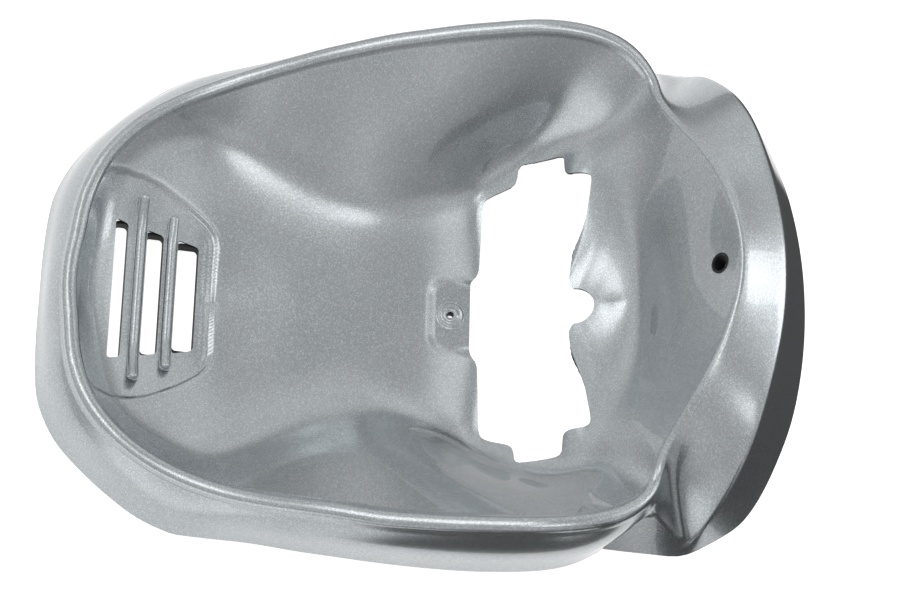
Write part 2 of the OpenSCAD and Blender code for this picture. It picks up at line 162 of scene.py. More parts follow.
@dataclass
class GuideCurves:
    """The panel's guide curves in millimetres, on a panel of the nominal size.

    The tables of x, y, z have one row per station, from the nose round to the middle of the hood.
    """

    nominal: tuple[float, float, float] = (579.5, 432.6, 148.0)
    shift_x: float = -2.75
    # The last station of the skirt, and the one where its lower edge turns a corner.
    leaf: int = 25
    corner: int = 10
    # The crest of the rolled rim.
    rim: Table = (
        (-262.5, 0, 48), (-261.5, 18, 48), (-259, 37, 48), (-256.5, 57, 48.5), (-251.5, 77, 49),
        (-244, 95, 50), (-232, 113, 50.5), (-217.5, 128.5, 51), (-200, 142, 51), (-180, 153.6, 51.7),
        (-157, 163.6, 54), (-130, 172.6, 59.5), (-104, 179, 67), (-78, 184.4, 75.5), (-52, 189.2, 82.2),
        (-26, 194.2, 87.5), (0, 197.2, 93), (26, 199.6, 99), (52, 201, 104.5), (78, 202, 109.8),
        (100, 201.3, 112.4), (118, 199, 112.8), (134, 195.2, 112), (147, 189.8, 110.3), (158, 182.2, 107.5),
        (166, 173.6, 104.5), (168.3, 170.4, 103.6), (172.6, 161.5, 102.8), (175, 152.5, 104.5),
        (177.8, 143.5, 108), (182.3, 134, 112), (187.8, 124.5, 116.8), (194.3, 113, 123), (201.8, 100, 129.7),
        (209.5, 85.5, 136), (217.3, 68.5, 141), (224, 49, 144.8), (229.3, 27, 147.2), (231.8, 0, 148),
    )
    # The panel's lower edge.
    base: Table = (
        (-287, 0, 0), (-287, 24, 0), (-286.3, 48, 0), (-284.5, 71, 0.2), (-280, 91, 0.7),
        (-269.5, 113, 2), (-255, 131.5, 3.5), (-238.5, 148, 5.5), (-220, 164, 7.5), (-199, 179, 10),
        (-174, 190.4, 12.8), (-146, 193.6, 15.9), (-116, 196.8, 19.4), (-88, 201.5, 22.6), (-60, 205.5, 25.7),
        (-32, 209.4, 29), (-4, 212.6, 32.1), (24, 215, 35.3), (50, 216.3, 38.3), (74, 216.2, 41),
        (94, 215, 43.3), (106, 213.2, 44.6), (116, 210.7, 45.7), (124, 207.6, 46.6), (131, 204, 47.5),
        (137, 200.6, 48.2), (139, 197.2, 48.2), (159, 198.6, 47.8), (180, 199.6, 47), (198, 199.5, 46.5),
        (214, 194.3, 52), (229, 186, 56.5), (243, 175, 60), (257, 154, 62), (269, 128, 63.2),
        (279.5, 99, 64.4), (286.8, 67, 65.3), (291, 35, 65.8), (292.5, 0, 66),
    )
    # The hood's sharp outer edge, which starts behind the skirt.
    crease: Table = (
        (173, 179.5, 86), (181, 184, 76.5), (191, 188, 67), (201.5, 191.5, 58.5), (212.5, 185.5, 74),
        (222, 173, 91), (231.5, 156, 107.5), (240, 137, 119.5), (247, 116, 127), (253.5, 91, 131.2),
        (259.5, 64, 133.5), (264, 35, 134.8), (266, 0, 135),
    )
    # The basin wall half way down.
    wall_mid: Table = (
        (-247, 0, 31), (-246.5, 17, 31), (-244, 35.5, 31), (-241, 54, 32), (-235.5, 72, 34),
        (-227, 89, 36), (-216, 105.5, 37.5), (-203, 120, 38), (-187, 132.5, 38), (-168, 141, 36.5),
        (-146, 144, 36), (-123, 142, 38), (-99, 140, 43), (-76, 136, 47), (-53, 133, 50),
        (-30, 133, 52), (-8, 138, 54), (14, 144, 57), (38, 150, 60), (61, 156, 64),
        (81, 162, 69), (98, 165, 74), (112, 165, 78), (124, 161, 80), (134, 156, 81),
        (141.5, 150.5, 80), (144, 148, 80), (149, 142, 80.5), (153, 135, 82), (156.5, 127, 84),
        (161, 119, 86), (166, 110, 88), (172, 98, 90), (177, 86.5, 91.5), (181, 73, 92.5),
        (184, 57.5, 93), (186, 39.5, 93), (187.5, 20, 93), (188, 0, 93),
    )
    # The foot of the basin wall, where the floor starts.
    foot: Table = (
        (-236, 0, 24), (-235.5, 17, 24), (-233.5, 34, 24), (-229.5, 51, 24.5), (-223, 68, 27),
        (-214, 83, 29), (-203, 97, 29.5), (-191, 109, 28.5), (-176, 119, 26), (-158, 123, 23),
        (-138, 119, 20.5), (-116, 109, 18.5), (-94, 97, 17), (-74, 86, 16), (-54, 78, 15),
        (-35, 75, 14), (-16, 77, 12.5), (4, 83, 10.5), (25, 93, 7.5), (47, 104, 3.8),
        (64, 114, 13), (79, 126, 22), (91, 130, 29.5), (102, 131, 37), (111, 130, 44),
        (118, 127.5, 49.5), (120, 126.3, 51), (125, 122.5, 55), (130, 117, 58.5), (134.5, 111, 61),
        (139, 104, 62.3), (144.5, 95, 62.3), (150, 84.5, 61.5), (155, 73, 60), (159.5, 60, 58.6),
        (163, 46, 57.5), (166, 30, 56.6), (167.5, 15, 56.1), (168, 0, 56),
    )
    # The floor's centre line: x at each station, and height at some places along x.
    spine_x: tuple[float, ...] = (
        -150, -149, -146, -141, -134, -126, -117, -107, -97, -86, -75, -63, -50, -37, -24, -11, 2, 15,
        28, 40, 52, 63, 73, 82, 90, 97, 99, 103, 107, 111, 115, 119, 123, 127, 131, 135, 139, 143, 146.5,
    )
    spine_z: Table = (
        (-150, 8.6), (-141, 8.8), (-117, 9.8), (-88, 10.8), (-30, 10.8), (6, 10.4), (12, 9.8), (28, 7.2),
        (44, 3.6), (52, 2.7), (80, 19), (110, 34), (134, 44), (168, 56),
    )
    # The floor half way from its foot to the centre line: heights by station up to mid_split, and past
    # it a share of the way to the centre line's height, with a lift beside the cut-out.
    mid_split: int = 20
    mid_share: float = 0.75
    mid_z: Table = (
        (0, 16.2), (1, 16), (2, 15.6), (3, 14.8), (4, 13.8), (5, 12.6), (6, 11.6), (7, 11), (14, 11),
        (16, 10.6), (17, 10), (18, 7.4), (19, 3.7),
    )
    mid_lift: Table = ((22, 0), (23, 2), (24, 8), (25, 19), (26, 19), (27, 17), (28, 11), (29, 4), (31, 0))
    # The rolled rim by station: its radius, and how far it turns over to each side in degrees from up.
    bead_radius: Table = ((0, 6), (8, 6.5), (14, 7), (22, 7), (29, 4), (38, 4))
    bead_out: Table = (
        (0, 92), (24, 92), (26, 80), (27, 62), (28, 46), (29, 40), (30, 30), (31, 21), (32, 13), (33, 9),
        (35, 10), (38, 16),
    )
    bead_in: Table = ((0, 70), (24, 68), (28, 62), (38, 56))

    def spine(self) -> np.ndarray:
        """Rows of x, y, z along the centre line of the floor."""
        x = np.array(self.spine_x, float)
        heights = np.array(self.spine_z, float)
        return np.stack([x, 0 * x, np.interp(x, heights[:, 0], heights[:, 1])], 1)

    def floor_mid(self) -> np.ndarray:
        """Rows of x, y, z half way from the foot of the wall to the centre line."""
        foot, spine = np.array(self.foot, float), self.spine()
        mid = (foot + spine) / 2
        heights, lift = np.array(self.mid_z, float), np.array(self.mid_lift, float)
        index = np.arange(len(foot))
        level = (1 - self.mid_share) * foot[:, 2] + self.mid_share * spine[:, 2]
        behind = level + np.interp(index, lift[:, 0], lift[:, 1])
        mid[:, 2] = np.where(index < self.mid_split, np.interp(index, heights[:, 0], heights[:, 1]), behind)
        return mid


@dataclass
class PanelSurface:
    """The front face of one half of the panel, as a fine net of points.

    Columns run from the nose to the hood, rows from the lower edge over the rim to the centre line.
    """

    curves: GuideCurves
    # Lines of the net in each cell of the mesh, and the mesh's cells along the rim and across it.
    fine: int = 4
    skirt_columns: int = 92
    hood_columns: int = 46
    wall_rows: int = 6
    crease_rows: int = 4
    band_rows: int = 8
    bead_rows: int = 8
    basin_rows: tuple[int, int, int, int] = (7, 7, 6, 6)
    # The skirt's bulge, which sits a little above its middle, and the share of its height that the
    # corner in its lower edge reaches up.
    skirt_bulge: float = 3.5
    skirt_bulge_skew: float = 1.6
    corner_reach: float = 0.3
    # Stations over which the skirt's rows close up to meet the hood's.
    hand_over: int = 6
    # The hood's bulge on a band of the given width, where less than 0 is hollow, and its edge's radius.
    hood_bulge: float = -0.5
    hood_bulge_width: float = 35.0
    hood_bulge_skew: float = 1.2
    crease_round: float = 3.0
    # The rim's section: 2 is a round bead, and more is a squarer one.
    bead_square: float = 2.6
    # How strongly the basin carries on from the rim, how often and how much it is softened, and over
    # how many rows from the rim that sets in.
    lip_lead: float = 3.0
    soften: int = 130
    soften_share: float = 0.5
    soften_rows: int = 12
    # What is worked out: the way out of the panel at each column, and the points of the net.
    outward: np.ndarray = field(init=False)
    net: np.ndarray = field(init=False)

    @property
    def columns(self) -> int:
        """Cells along the rim of one half."""
        return self.skirt_columns + 1 + self.hood_columns

    @property
    def rows(self) -> int:
        """Cells from the lower edge to the centre line."""
        return self.wall_rows + self.crease_rows + self.band_rows + self.bead_rows + sum(self.basin_rows)

    def __post_init__(self) -> None:
        """Draws the net."""
        c = self.curves
        rim, base = np.array(c.rim, float), np.array(c.base, float)
        step = np.hypot(*np.diff(rim[:, :2], axis=0).T)
        knots = np.concatenate([[0], np.cumsum(step)])
        leaf = c.leaf
        skirt_at = np.linspace(knots[0], knots[leaf], self.fine * self.skirt_columns + 1)
        step_at = np.linspace(knots[leaf], knots[leaf + 1], self.fine + 1)[1:]
        hood_at = np.linspace(knots[leaf + 1], knots[-1], self.fine * self.hood_columns + 1)[1:]
        at = np.concatenate([skirt_at, step_at, hood_at])
        station = np.interp(at, knots, np.arange(len(rim)))
        crest = mirrored_cubic(knots, rim, at)
        probe = 0.5
        along = mirrored_cubic(knots, rim, at + probe) - mirrored_cubic(knots, rim, at - probe)
        along[:, 2] = 0
        along /= np.linalg.norm(along, axis=1)[:, None]
        self.outward = np.stack([-along[:, 1], along[:, 0], 0 * at], 1)
        radius = self._read(c.bead_radius, station)
        out_angle = np.radians(self._read(c.bead_out, station))
        in_angle = np.radians(self._read(c.bead_in, station))

        def bead(angle: np.ndarray) -> np.ndarray:
            """Points on the rolled rim.

            Args:
                angle: how far over from straight up at each column, outside positive.

            Returns:
                One point per column.
            """
            sine, cosine = np.sin(angle), np.cos(angle)
            power = self.bead_square
            size = radius * (np.abs(sine) ** power + np.abs(cosine) ** power) ** (-1 / power)
            up = np.stack([0 * at, 0 * at, size * cosine - radius], 1)
            return crest + self.outward * (size * sine)[:, None] + up

        outer = self._outer(at, knots, base, bead(out_angle))
        turn = np.linspace(0, 1, self.fine * self.bead_rows + 1)
        rim_rows = [bead(out_angle * (1 - t) - in_angle * t) for t in turn]
        inner = self._basin(at, knots, rim_rows[-1], rim_rows[-3])
        self.net = np.stack([*outer, *rim_rows[1:], *inner], 1)
        self._smooth(self.fine * (self.wall_rows + self.crease_rows + self.band_rows + self.bead_rows))

    @staticmethod
    def _read(table: Table, station: np.ndarray, width: int = 8) -> np.ndarray:
        """Values of a small table, eased between its rows.

        Args:
            table: rows of station and value.
            station: where the table is read, column by column.
            width: over how many columns to each side the values are evened out.

        Returns:
            One value per column.
        """
        rows = np.array(table, float)
        value = np.interp(station, rows[:, 0], rows[:, 1])
        padded = np.pad(value, width, mode="edge")
        return np.convolve(padded, np.ones(2 * width + 1) / (2 * width + 1), mode="valid")

    def _outer(
        self, at: np.ndarray, knots: np.ndarray, base: np.ndarray, foot: np.ndarray
    ) -> list[np.ndarray]:
        """Rows from the lower edge to the outer foot of the rim.

        Args:
            at: column positions along the rim.
            knots: station positions along the rim.
            base: the lower edge at each station.
            foot: the outer foot of the rim at each column.

        Returns:
            One array of points per row.
        """
        leaf, split = self.curves.leaf, self.fine * self.skirt_columns
        skirt, hood = slice(0, split + 1), slice(split + self.fine, None)
        hood_net = self._hood_net(at[hood], knots[leaf + 1 :], base[leaf + 1 :], foot[hood])
        first = np.concatenate([hood_net[0], foot[hood][:1]])
        length = np.concatenate([[0], np.cumsum(np.linalg.norm(np.diff(first, axis=0), axis=1))])
        shares = length[:-1] / length[-1]
        skirt_rows = self._skirt_rows(at[skirt], knots[: leaf + 1], base[: leaf + 1], foot[skirt], shares)
        rows = []
        for j, skirt_row in enumerate(skirt_rows):
            whole = np.empty_like(foot)
            whole[skirt] = skirt_row
            whole[hood] = hood_net[:, j]
            for k in range(1, self.fine):
                t = k / self.fine
                whole[split + k] = whole[split] * (1 - t) + whole[split + self.fine] * t
            rows.append(whole)
        return [*rows, foot]

    def _hood_net(self, at: np.ndarray, knots: np.ndarray, base: np.ndarray, foot: np.ndarray) -> np.ndarray:
        """The hood's outer wall, its rounded outer edge and the band between that edge and the ridge.

        Args:
            at: column positions along the hood.
            knots: station positions along the hood.
            base: the hood's lower edge at each station.
            foot: the outer foot of the ridge at each column.

        Returns:
            Points by column, row and axis, without the last row, which is the foot.
        """
        low = self._open_end(knots, base, at, start=False)
        edge = self._open_end(knots, np.array(self.curves.crease, float), at, start=False)
        down, over = edge - low, foot - edge
        wall_length, band_width = np.linalg.norm(down, axis=1), np.linalg.norm(over, axis=1)
        round_r = np.minimum(self.crease_round, band_width / 3)
        down /= wall_length[:, None]
        over /= band_width[:, None]
        start, end = edge - down * round_r[:, None], edge + over * round_r[:, None]
        wall_n, turn_n, band_n = (self.fine * n for n in (self.wall_rows, self.crease_rows, self.band_rows))
        rows = [low + down * ((wall_length - round_r) * t)[:, None] for t in np.arange(wall_n + 1) / wall_n]
        for t in np.arange(1, turn_n + 1) / turn_n:
            rows.append(start * (1 - t) ** 2 + edge * 2 * t * (1 - t) + end * t**2)
        for t in np.arange(1, band_n) / band_n:
            point = edge + over * (round_r + (band_width - round_r) * t)[:, None]
            bulge = self.hood_bulge * band_width / self.hood_bulge_width
            point[:, 2] += bulge * np.sin(math.pi * t) ** self.hood_bulge_skew
            rows.append(point)
        return np.stack(rows, 1)

    def _skirt_rows(
        self, at: np.ndarray, knots: np.ndarray, base: np.ndarray, foot: np.ndarray, shares: np.ndarray
    ) -> list[np.ndarray]:
        """The skirt, from its lower edge to just below the rim.

        Args:
            at: column positions along the skirt.
            knots: station positions along the skirt.
            base: the skirt's lower edge at each station.
            foot: the outer foot of the rim at each column.
            shares: how far up each row lies where the skirt meets the hood, 0 to 1.

        Returns:
            One array of points per row, without the foot.
        """
        turn = self.curves.corner
        low = self._open_end(knots, base, at, start=True)
        before = self._open_end(knots[: turn + 1], base[: turn + 1], at, start=True)
        sharp = np.where((at <= knots[turn])[:, None], before, cubic(knots[turn:], base[turn:], at))
        outward = self.outward[: len(at)]
        near = smooth_step(at, knots[-1 - self.hand_over], knots[-1])
        rows = []
        for j, at_hood in enumerate(shares):
            share = j / len(shares) * (1 - near) + at_hood * near
            bulge = self.skirt_bulge * np.sin(math.pi * share**self.skirt_bulge_skew)
            row = low + (foot - low) * share[:, None] + outward * bulge[:, None]
            row += (sharp - low) * (np.clip(1 - share / self.corner_reach, 0, 1) ** 2)[:, None]
            rows.append(row)
        return rows

    @staticmethod
    def _open_end(knots: np.ndarray, values: np.ndarray, at: np.ndarray, start: bool) -> np.ndarray:
        """A cubic through values that is mirrored at the centre line, and ends free at its other end.

        Args:
            knots: rising positions of the values.
            values: rows of x, y, z.
            at: positions to read.
            start: whether the centre line is at the first value, and not at the last.

        Returns:
            Rows of x, y, z.
        """
        flip = np.array([1.0, -1.0, 1.0])
        if start:
            longer = np.concatenate([2 * knots[0] - knots[4:0:-1], knots])
            rows = np.concatenate([values[4:0:-1] * flip, values])
        else:
            longer = np.concatenate([knots, 2 * knots[-1] - knots[-2:-6:-1]])
            rows = np.concatenate([values, values[-2:-6:-1] * flip])
        return cubic(longer, rows, at)

    def _basin(
        self, at: np.ndarray, knots: np.ndarray, lip: np.ndarray, before: np.ndarray
    ) -> list[np.ndarray]:
        """Rows from the inner foot of the rim down the wall and across the floor to the centre line.

        Args:
            at: column positions along the rim.
            knots: station positions along the rim.
            lip: the inner foot of the rim at each column.
            before: a row of the rim a little above its foot, for the slope there.

        Returns:
            One array of points per row.
        """
        c = self.curves
        lines = [np.array(table, float) for table in (c.wall_mid, c.foot, c.floor_mid())]
        guides = [lip + (lip - before) * self.lip_lead, lip]
        guides += [mirrored_cubic(knots, line, at) for line in lines]
        spine = mirrored_cubic(knots, c.spine(), at)
        spine[:, 1] = 0
        across = guides[-1] * np.array([1.0, -1.0, 1.0])
        guides += [spine, across]
        rows: list[np.ndarray] = []
        for k, cells in enumerate(self.basin_rows):
            a, b, d, e = guides[k : k + 4]
            lean_b, lean_d = self._lean(b - a, d - b), self._lean(d - b, e - d)
            for j in range(1, self.fine * cells + 1):
                t = j / (self.fine * cells)
                rows.append(
                    (2 * t**3 - 3 * t**2 + 1) * b
                    + (t**3 - 2 * t**2 + t) * lean_b
                    + (3 * t**2 - 2 * t**3) * d
                    + (t**3 - t**2) * lean_d
                )
        return rows

    @staticmethod
    def _lean(before: np.ndarray, after: np.ndarray) -> np.ndarray:
        """A slope between two steps that never swings past either.

        Args:
            before: the step that leads to the point.
            after: the step that leaves it.

        Returns:
            The slope at the point, axis by axis.
        """
        both = before * after
        total = before + after
        return np.where(both > 0, 2 * both / np.where(np.abs(total) < 1e-9, 1, total), 0)

    def _smooth(self, start: int) -> None:
        """Softens the basin, and leaves the rim and everything outside it as drawn.

        Args:
            start: the net's row at the inner foot of the rim.
        """
        flip = np.array([1.0, -1.0, 1.0])
        rows = self.net.shape[1]
        weight = smooth_step(np.arange(rows), start, start + self.soften_rows)[None, :, None]
        weight = weight * self.soften_share
        for _ in range(self.soften):
            p = self.net
            wide = np.concatenate([p[1:2] * flip, p, p[-2:-1] * flip], 0)
            tall = np.concatenate([p[:, :1], p, p[:, -2:-1] * flip], 1)
            mean = (wide[:-2] + wide[2:] + tall[:, :-2] + tall[:, 2:]) / 4
            p = p + (mean - p) * weight
            p[:, -1, 1] = 0
            p[0, :, 1] = 0
            p[-1, :, 1] = 0
            self.net = p

    def point(self, column: float, row: float) -> np.ndarray:
        """The point at a place on the net, which may lie between its lines.

        Args:
            column: position along the rim, in lines of the net.
            row: position from the lower edge towards the centre line, in lines of the net.

        Returns:
            The point's x, y, z.
        """
        c, r = min(column, self.net.shape[0] - 1.0), min(row, self.net.shape[1] - 1.0)
        i, j = min(int(c), self.net.shape[0] - 2), min(int(r), self.net.shape[1] - 2)
        u, v = c - i, r - j
        p = self.net
        near, far = p[i, j] * (1 - u) + p[i + 1, j] * u, p[i, j + 1] * (1 - u) + p[i + 1, j + 1] * u
        return near * (1 - v) + far * v


def polygon_distance(points: np.ndarray, outline: np.ndarray) -> np.ndarray:
    """Signed distance in the plane from each point to a closed outline.

    Args:
        points: rows of x, y.
        outline: the outline's corners in order, as rows of x, y.

    Returns:
        One distance per point, negative inside.
    """
    start, end = outline, np.roll(outline, -1, axis=0)
    best = np.full(len(points), np.inf)
    inside = np.zeros(len(points), bool)
    for a, b in zip(start, end):
        edge, rel = b - a, points - a
        t = np.clip(rel @ edge / max(edge @ edge, 1e-12), 0, 1)
        best = np.minimum(best, np.hypot(*(rel - t[:, None] * edge).T))
        crosses = (a[1] > points[:, 1]) != (b[1] > points[:, 1])
        with np.errstate(divide="ignore", invalid="ignore"):
            x = a[0] + (points[:, 1] - a[1]) * (b[0] - a[0]) / (b[1] - a[1])
        inside ^= crosses & (points[:, 0] < x)
    return np.where(inside, -best, best)


def box_distance(
    points: np.ndarray, middle: tuple[float, float], half: tuple[float, float], r: float
) -> np.ndarray:
    """Signed distance in the plane from each point to a rectangle with round corners.

    Args:
        points: rows of x, y.
        middle: the rectangle's middle.
        half: half its sizes along x and y.
        r: the radius of its corners.

    Returns:
        One distance per point, negative inside.
    """
    q = np.abs(points - np.array(middle)) - np.array(half) + r
    return np.hypot(*np.maximum(q, 0).T) + np.minimum(q.max(1), 0) - r


@dataclass
class Grille:
    """The pocket in the nose slope, its three slots and its two ribs, in millimetres."""

    x: float = -199.5
    z: float = 17.0
    tilt: float = 9.9
    # Each slot's place along the slope, its width and its length, and how its ends slant.
    slots: Table = ((-27.6, 9.6, 113.0), (-1.4, 12.8, 101.0), (24.4, 16.2, 90.0))
    corner: float = 2.5
    slant: float = 0.27
    # Each rib's place along the slope, half its straight length, half its whole length and its end's climb.
    ribs: Table = ((-12.9, 52.0, 72.0, 8.5), (11.3, 44.0, 59.5, 4.6))
    rib_radius: float = 4.3
    rib_rise: float = 1.7
    # The pocket's depth, the run of its edge from outside to inside, and how it fades out at the nose.
    pocket_depth: float = 1.6
    pocket_edge: tuple[float, float] = (-0.7, 1.8)
    nose_fade: tuple[float, float] = (-246.0, -222.0)
    nose_share: float = 0.15
    # The raised line inside the pocket's edge beside the cut-out, and the low brim outside the edge.
    lip_rise: float = 0.8
    lip_inset: float = 6.5
    lip_width: float = 2.2
    lip_start: tuple[float, float] = (-178.0, -168.0)
    lip_end: tuple[float, float] = (44.0, 56.0)
    brim_rise: float = 0.35
    brim_width: float = 1.8
    collar_depth: float = 9.0
    collar_wall: float = 2.5
    # Half of the pocket's outline, in plan.
    pocket: Table = (
        (-154.2, 0), (-154, 30), (-153.6, 45), (-155.5, 54), (-162, 63), (-176, 73.5), (-190, 82),
        (-200, 87.5), (-212, 91.5), (-226, 93), (-238, 90), (-247, 81), (-252, 66), (-254, 40), (-254, 0),
    )

    def pocket_outline(self) -> np.ndarray:
        """The pocket's whole outline."""
        half = np.array(self.pocket, float)
        return np.concatenate([half, half[-2:0:-1] * np.array([1, -1])])

    def slot_distance(self, plan: np.ndarray) -> np.ndarray:
        """Measures how far points lie from the slots.

        Args:
            plan: rows of x, y.

        Returns:
            Signed distance to the nearest slot, negative inside.
        """
        squash = math.cos(math.radians(self.tilt))
        local = (plan - np.array([self.x, 0])) / np.array([squash, 1])
        away = []
        for s, w, h in self.slots:
            leaning = np.stack([local[:, 0], np.abs(local[:, 1]) + self.slant * (local[:, 0] - s)], 1)
            away.append(box_distance(leaning, (s, 0), (w / 2, h / 2), self.corner))
        return np.min(away, axis=0)

    def rise(self, plan: np.ndarray) -> np.ndarray:
        """How far the pocket and its edges move the surface.

        Args:
            plan: rows of x, y.

        Returns:
            The move upwards at each of them.
        """
        inside = -polygon_distance(plan, self.pocket_outline())
        fade = smooth_step(plan[:, 0], *self.nose_fade) * (1 - self.nose_share) + self.nose_share
        height = -self.pocket_depth * smooth_step(inside, *self.pocket_edge) * fade
        lip = bell(inside, self.lip_inset, self.lip_width) * smooth_step(plan[:, 0], *self.lip_start)
        height += self.lip_rise * lip * (1 - smooth_step(np.abs(plan[:, 1]), *self.lip_end))
        return height + self.brim_rise * bell(inside, -self.brim_width, self.brim_width) * fade


@dataclass
class ScrewSeat:
    """The recess, the raised button and the hole for the screw, in millimetres."""

    x: float = 28.0
    hole: float = 2.6
    # The recess: its floor's height, its outline, and half the run of its sloping edge.
    floor: float = 7.0
    half_width: float = 29.0
    left: float = 13.0
    right: float = 75.0
    corner: float = 12.0
    slope: float = 4.5
    # The button's radius, rise and the run of its edge, out and in.
    button: float = 10.0
    button_rise: float = 1.1
    button_edge: tuple[float, float] = (0.6, 0.8)
    # The crown on the button, the fine groove round it, and the dish round the hole.
    crown: float = 7.0
    crown_rise: float = 0.8
    crown_slope: float = 2.5
    groove_depth: float = 0.35
    groove_gap: float = 0.6
    groove_width: float = 0.9
    dish_depth: float = 0.9
    dish_width: float = 1.4

    def settle(self, plan: np.ndarray, height: np.ndarray) -> np.ndarray:
        """Moulds the recess and its button into the surface.

        Args:
            plan: rows of x, y.
            height: the surface height at each of them.

        Returns:
            The new height at each of them.
        """
        middle = ((self.left + self.right) / 2, 0.0)
        half = ((self.right - self.left) / 2, self.half_width)
        inside = -box_distance(plan, middle, half, self.corner)
        blend = smooth_step(inside, -self.slope, self.slope)
        height = height * (1 - blend) + self.floor * blend
        away = np.hypot(plan[:, 0] - self.x, plan[:, 1])
        out, back = self.button_edge
        height = height + self.button_rise * smooth_step(-away, -self.button - out, -self.button + back)
        height = height - self.groove_depth * bell(away, self.crown + self.groove_gap, self.groove_width)
        height = height + self.crown_rise * smooth_step(-away, -self.crown, -self.crown + self.crown_slope)
        return height - self.dish_depth * smooth_step(-away, -self.hole - self.dish_width, -self.hole)


@dataclass
class CutOut:
    """The large opening in the basin for the steering column, in millimetres."""

    # Its straight edges in x, and its corners, its deep notches and its shoulders in y.
    left: float = 50.0
    right: float = 130.5
    half: float = 102.0
    notch: float = 124.5
    shoulder: float = 105.5
    # The round key notch on the centre line.
    key_r: float = 14.5
    key_x: float = 120.0

    def outline(self) -> np.ndarray:
        """The whole outline without its key notch."""
        a, b = self.left, self.right
        half = np.array(
            [
                (a - 7, 0), (a - 7, 27), (a - 6.2, 30), (a - 4.2, 33), (a - 1.8, 36), (a - 0.4, 40), (a, 46),
                (a + 1.5, self.half - 9), (a + 2.6, self.half - 4.5), (a + 5, self.half - 1.5),
                (a + 10, self.half + 1), (a + 22.5, self.half + 5.4), (a + 25.6, self.half + 8),
                (a + 27, self.half + 12), (a + 27.5, self.notch - 4), (a + 28.4, self.notch - 1.6),
                (a + 31, self.notch - 0.4), (a + 45, self.notch), (a + 56, self.notch),
                (a + 59, self.notch - 1), (a + 60.5, self.notch - 3.4), (a + 61, self.shoulder + 4.5),
                (a + 62, self.shoulder + 2), (a + 65, self.shoulder + 0.7), (b - 5, self.shoulder - 0.5),
                (b - 1.6, self.shoulder - 2), (b - 0.3, self.shoulder - 4), (b, self.shoulder - 7.5),
                (b - 1, 87), (b - 3.2, 70), (b - 5.6, 61), (b - 9, 51.5), (b - 12, 43), (b - 13.6, 34),
                (b - 14.5, 24), (b - 14.2, 20), (b - 12.5, 16.5), (b - 11, 14.5),
            ],
            float,
        )
        return np.concatenate([half, half[:0:-1] * np.array([1, -1])])

    def distance(self, plan: np.ndarray) -> np.ndarray:
        """Measures how far points lie from the opening.

        Args:
            plan: rows of x, y.

        Returns:
            Signed distance, negative inside.
        """
        key = np.hypot(plan[:, 0] - self.key_x, plan[:, 1]) - self.key_r
        return np.minimum(polygon_distance(plan, self.outline()), key)


@dataclass
class LipHole:
    """The round hole in the wall under the ridge, in millimetres."""

    x: float = 215.0
    z: float = 133.0
    radius: float = 6.3
    tilt: float = 50.0

    def axis(self) -> np.ndarray:
        """The way the hole points, out of the basin wall."""
        a = math.radians(self.tilt)
        return np.array([-math.sin(a), 0, math.cos(a)])

    def distance(self, points: np.ndarray) -> np.ndarray:
        """Measures how far points lie from the hole's wall.

        Args:
            points: rows of x, y, z.

        Returns:
            Signed distance, negative inside.
        """
        rel = points - np.array([self.x, 0, self.z])
        across = rel - (rel @ self.axis())[:, None] * self.axis()
        return np.linalg.norm(across, axis=1) - self.radius


